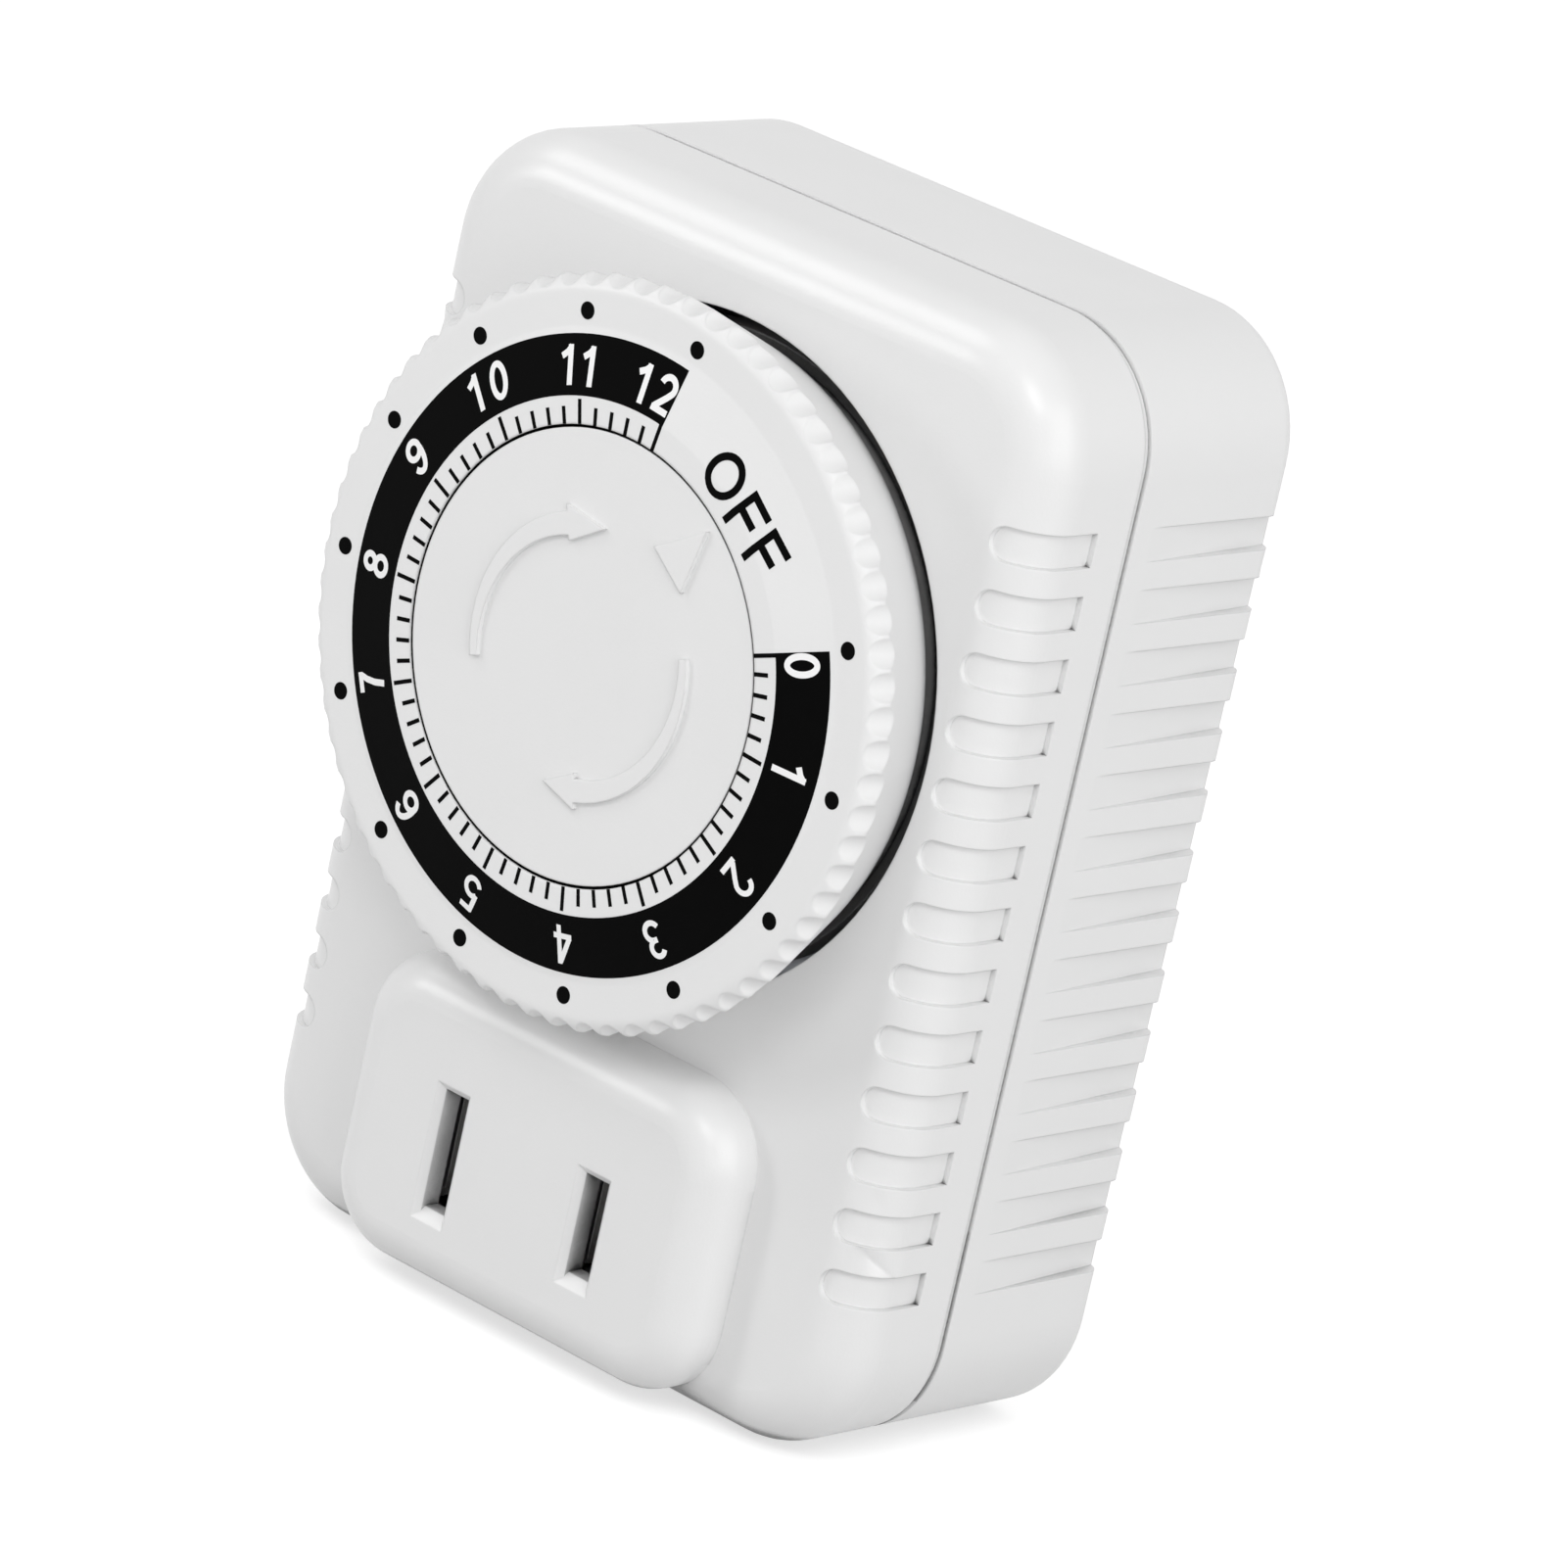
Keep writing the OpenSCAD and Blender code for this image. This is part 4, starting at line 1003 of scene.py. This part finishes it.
    def word(self) -> Stencil:
        """Draws the word between the last and the first hour.

        Returns:
            The outlines of its letters.
        """
        stencil = Stencil()
        across, rise = direction(self.word_up - 90), direction(self.word_up)
        for char, place in zip(self.word_letters, self.word_places):
            stencil.sign(char, place * across + self.word_foot * rise, self.word_up,
                         self.word_height, self.word_weight)
        return stencil

    def build(self, ink: bpy.types.Material, white: bpy.types.Material) -> None:
        """Makes the print, black with white figures.

        Args:
            ink: The black ink's material.
            white: The white ink's material.
        """
        self.piece("dial_band", self.band(), ink, bare=self.figures())
        self.piece("dial_figures", self.figures(), white)
        self.piece("dial_ticks", self.ticks(), ink)
        self.piece("dial_dots", self.dots(), ink)
        self.piece("dial_word", self.word(), ink)


# ---- Studio ------------------------------------------------------------------------------------


@dataclass
class Lamp:
    """A soft rectangular lamp that looks at a point on the object."""

    name: str
    place: tuple[float, float, float]
    size: Point
    power: float
    target: tuple[float, float, float] = (0.0, -20.0, 30.0)

    def build(self) -> None:
        """Makes the lamp."""
        light = bpy.data.lights.new(self.name, "AREA")
        light.shape = "RECTANGLE"
        light.size, light.size_y = (s * MM for s in self.size)
        light.energy = self.power
        lamp = bpy.data.objects.new(self.name, light)
        bpy.context.scene.collection.objects.link(lamp)
        start, end = Vector(self.place) * MM, Vector(self.target) * MM
        lamp.matrix_world = (Matrix.Translation(start)
                             @ (end - start).to_track_quat("-Z", "Y").to_matrix().to_4x4())
        log.info("studio: lamp %s", self.name)


@dataclass
class Studio:
    """White floor, even surroundings, lamps and the camera."""

    floor_z: float = -10.2
    floor_size: float = 9000.0
    floor_colour: Colour = (0.6, 0.6, 0.6)
    floor_roughness: float = 0.9
    floor_glow: float = 0.65
    sky: float = 0.53
    lamps: tuple[Lamp, ...] = (
        Lamp("left_lamp", (-330.0, -248.0, 410.0), (220.0, 200.0), 0.42),
        Lamp("low_lamp", (-350.0, -395.0, 165.0), (80.0, 150.0), 0.36),
        Lamp("front_lamp", (200.0, -395.0, 378.0), (200.0, 150.0), 0.50),
        Lamp("side_lamp", (480.0, -130.0, 230.0), (420.0, 420.0), 1.05),
        Lamp("fill_lamp", (400.0, -400.0, 20.0), (400.0, 300.0), 0.33),
    )
    camera_place: tuple[float, float, float] = (352.5, -451.0, 196.3)
    camera_right: tuple[float, float, float] = (0.7229, 0.6585, 0.2092)
    camera_ahead: tuple[float, float, float] = (-0.5977, 0.7479, -0.2889)
    camera_lens: float = 212.4
    camera_sensor: float = 36.0
    camera_range: Point = (0.01, 20.0)

    def build(self) -> None:
        """Makes the whole studio."""
        self.surroundings()
        self.floor()
        for lamp in self.lamps:
            lamp.build()
        self.camera()

    def seen_ray(self, g: Graph) -> bpy.types.NodeSocket:
        """Masks the rays that show the background: seen, mirrored or let through.

        Args:
            g: The graph of the material or the world.

        Returns:
            The mask's socket.
        """
        path = g.add("LightPath").outputs
        shown = g.math("MAXIMUM", path["Is Camera Ray"], path["Is Glossy Ray"])
        return g.math("MAXIMUM", shown, path["Is Transmission Ray"])

    def surroundings(self) -> None:
        """Makes even light from all round, in front of a white background."""
        world = bpy.data.worlds.new("studio_air")
        bpy.context.scene.world = world
        world.use_nodes = True
        g = Graph(world.node_tree)
        light = world.node_tree.nodes["Background"]
        level = g.math("ADD", self.sky, g.math("MULTIPLY", self.seen_ray(g), 1.0 - self.sky))
        light.inputs["Color"].default_value = WHITE
        g.feed(light, {"Strength": level})

    def floor(self) -> None:
        """Makes the pale floor, which fades to white away from the object's shadow."""
        half = self.floor_size / 2 * MM
        z = self.floor_z * MM
        mesh = bpy.data.meshes.new("floor")
        mesh.from_pydata([(-half, -half, z), (half, -half, z), (half, half, z),
                          (-half, half, z)], [], [(0, 1, 2, 3)])
        material = bpy.data.materials.new("floor_paper")
        material.use_nodes = True
        g = Graph(material.node_tree)
        surface = material.node_tree.nodes["Principled BSDF"]
        surface.inputs["Base Color"].default_value = (*self.floor_colour, 1.0)
        surface.inputs["Roughness"].default_value = self.floor_roughness
        surface.inputs["Specular IOR Level"].default_value = 0.0
        surface.inputs["Emission Color"].default_value = WHITE
        glow = g.math("MULTIPLY", self.seen_ray(g), self.floor_glow)
        g.feed(surface, {"Emission Strength": glow})
        mesh.materials.append(material)
        floor = bpy.data.objects.new("floor", mesh)
        bpy.context.scene.collection.objects.link(floor)

    def camera(self) -> None:
        """Makes the camera, a long lens a little above and to the right of the front."""
        ahead = Vector(self.camera_ahead).normalized()
        right = Vector(self.camera_right)
        right = (right - ahead * right.dot(ahead)).normalized()
        up = right.cross(ahead)
        place = Vector(self.camera_place) * MM
        view = bpy.data.cameras.new("camera")
        view.lens, view.sensor_width = self.camera_lens, self.camera_sensor
        view.clip_start, view.clip_end = self.camera_range
        camera = bpy.data.objects.new("camera", view)
        bpy.context.scene.collection.objects.link(camera)
        camera.matrix_world = Matrix(
            [(right[i], up[i], -ahead[i], place[i]) for i in range(3)] + [(0, 0, 0, 1)])
        bpy.context.scene.camera = camera
        bpy.context.scene.view_settings.view_transform = "Standard"
        log.info("studio: camera with a lens of %.1f mm", self.camera_lens)


def main() -> None:
    """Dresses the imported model, prints the dial and sets up the studio."""
    logging.basicConfig(level=logging.INFO, format="%(name)s: %(message)s")
    effects = Effects()
    materials = {slot: finish.material(effects) for slot, finish in FINISHES.items()}
    for assembly in (Case(), SettingGroup(), Movement(), Motor(), Conductors(), Switch()):
        assembly.dress(materials)
    DialPrint().build(BLACK_INK.material(effects), WHITE_INK.material(effects))
    Studio().build()


if __name__ == "__main__":
    main()
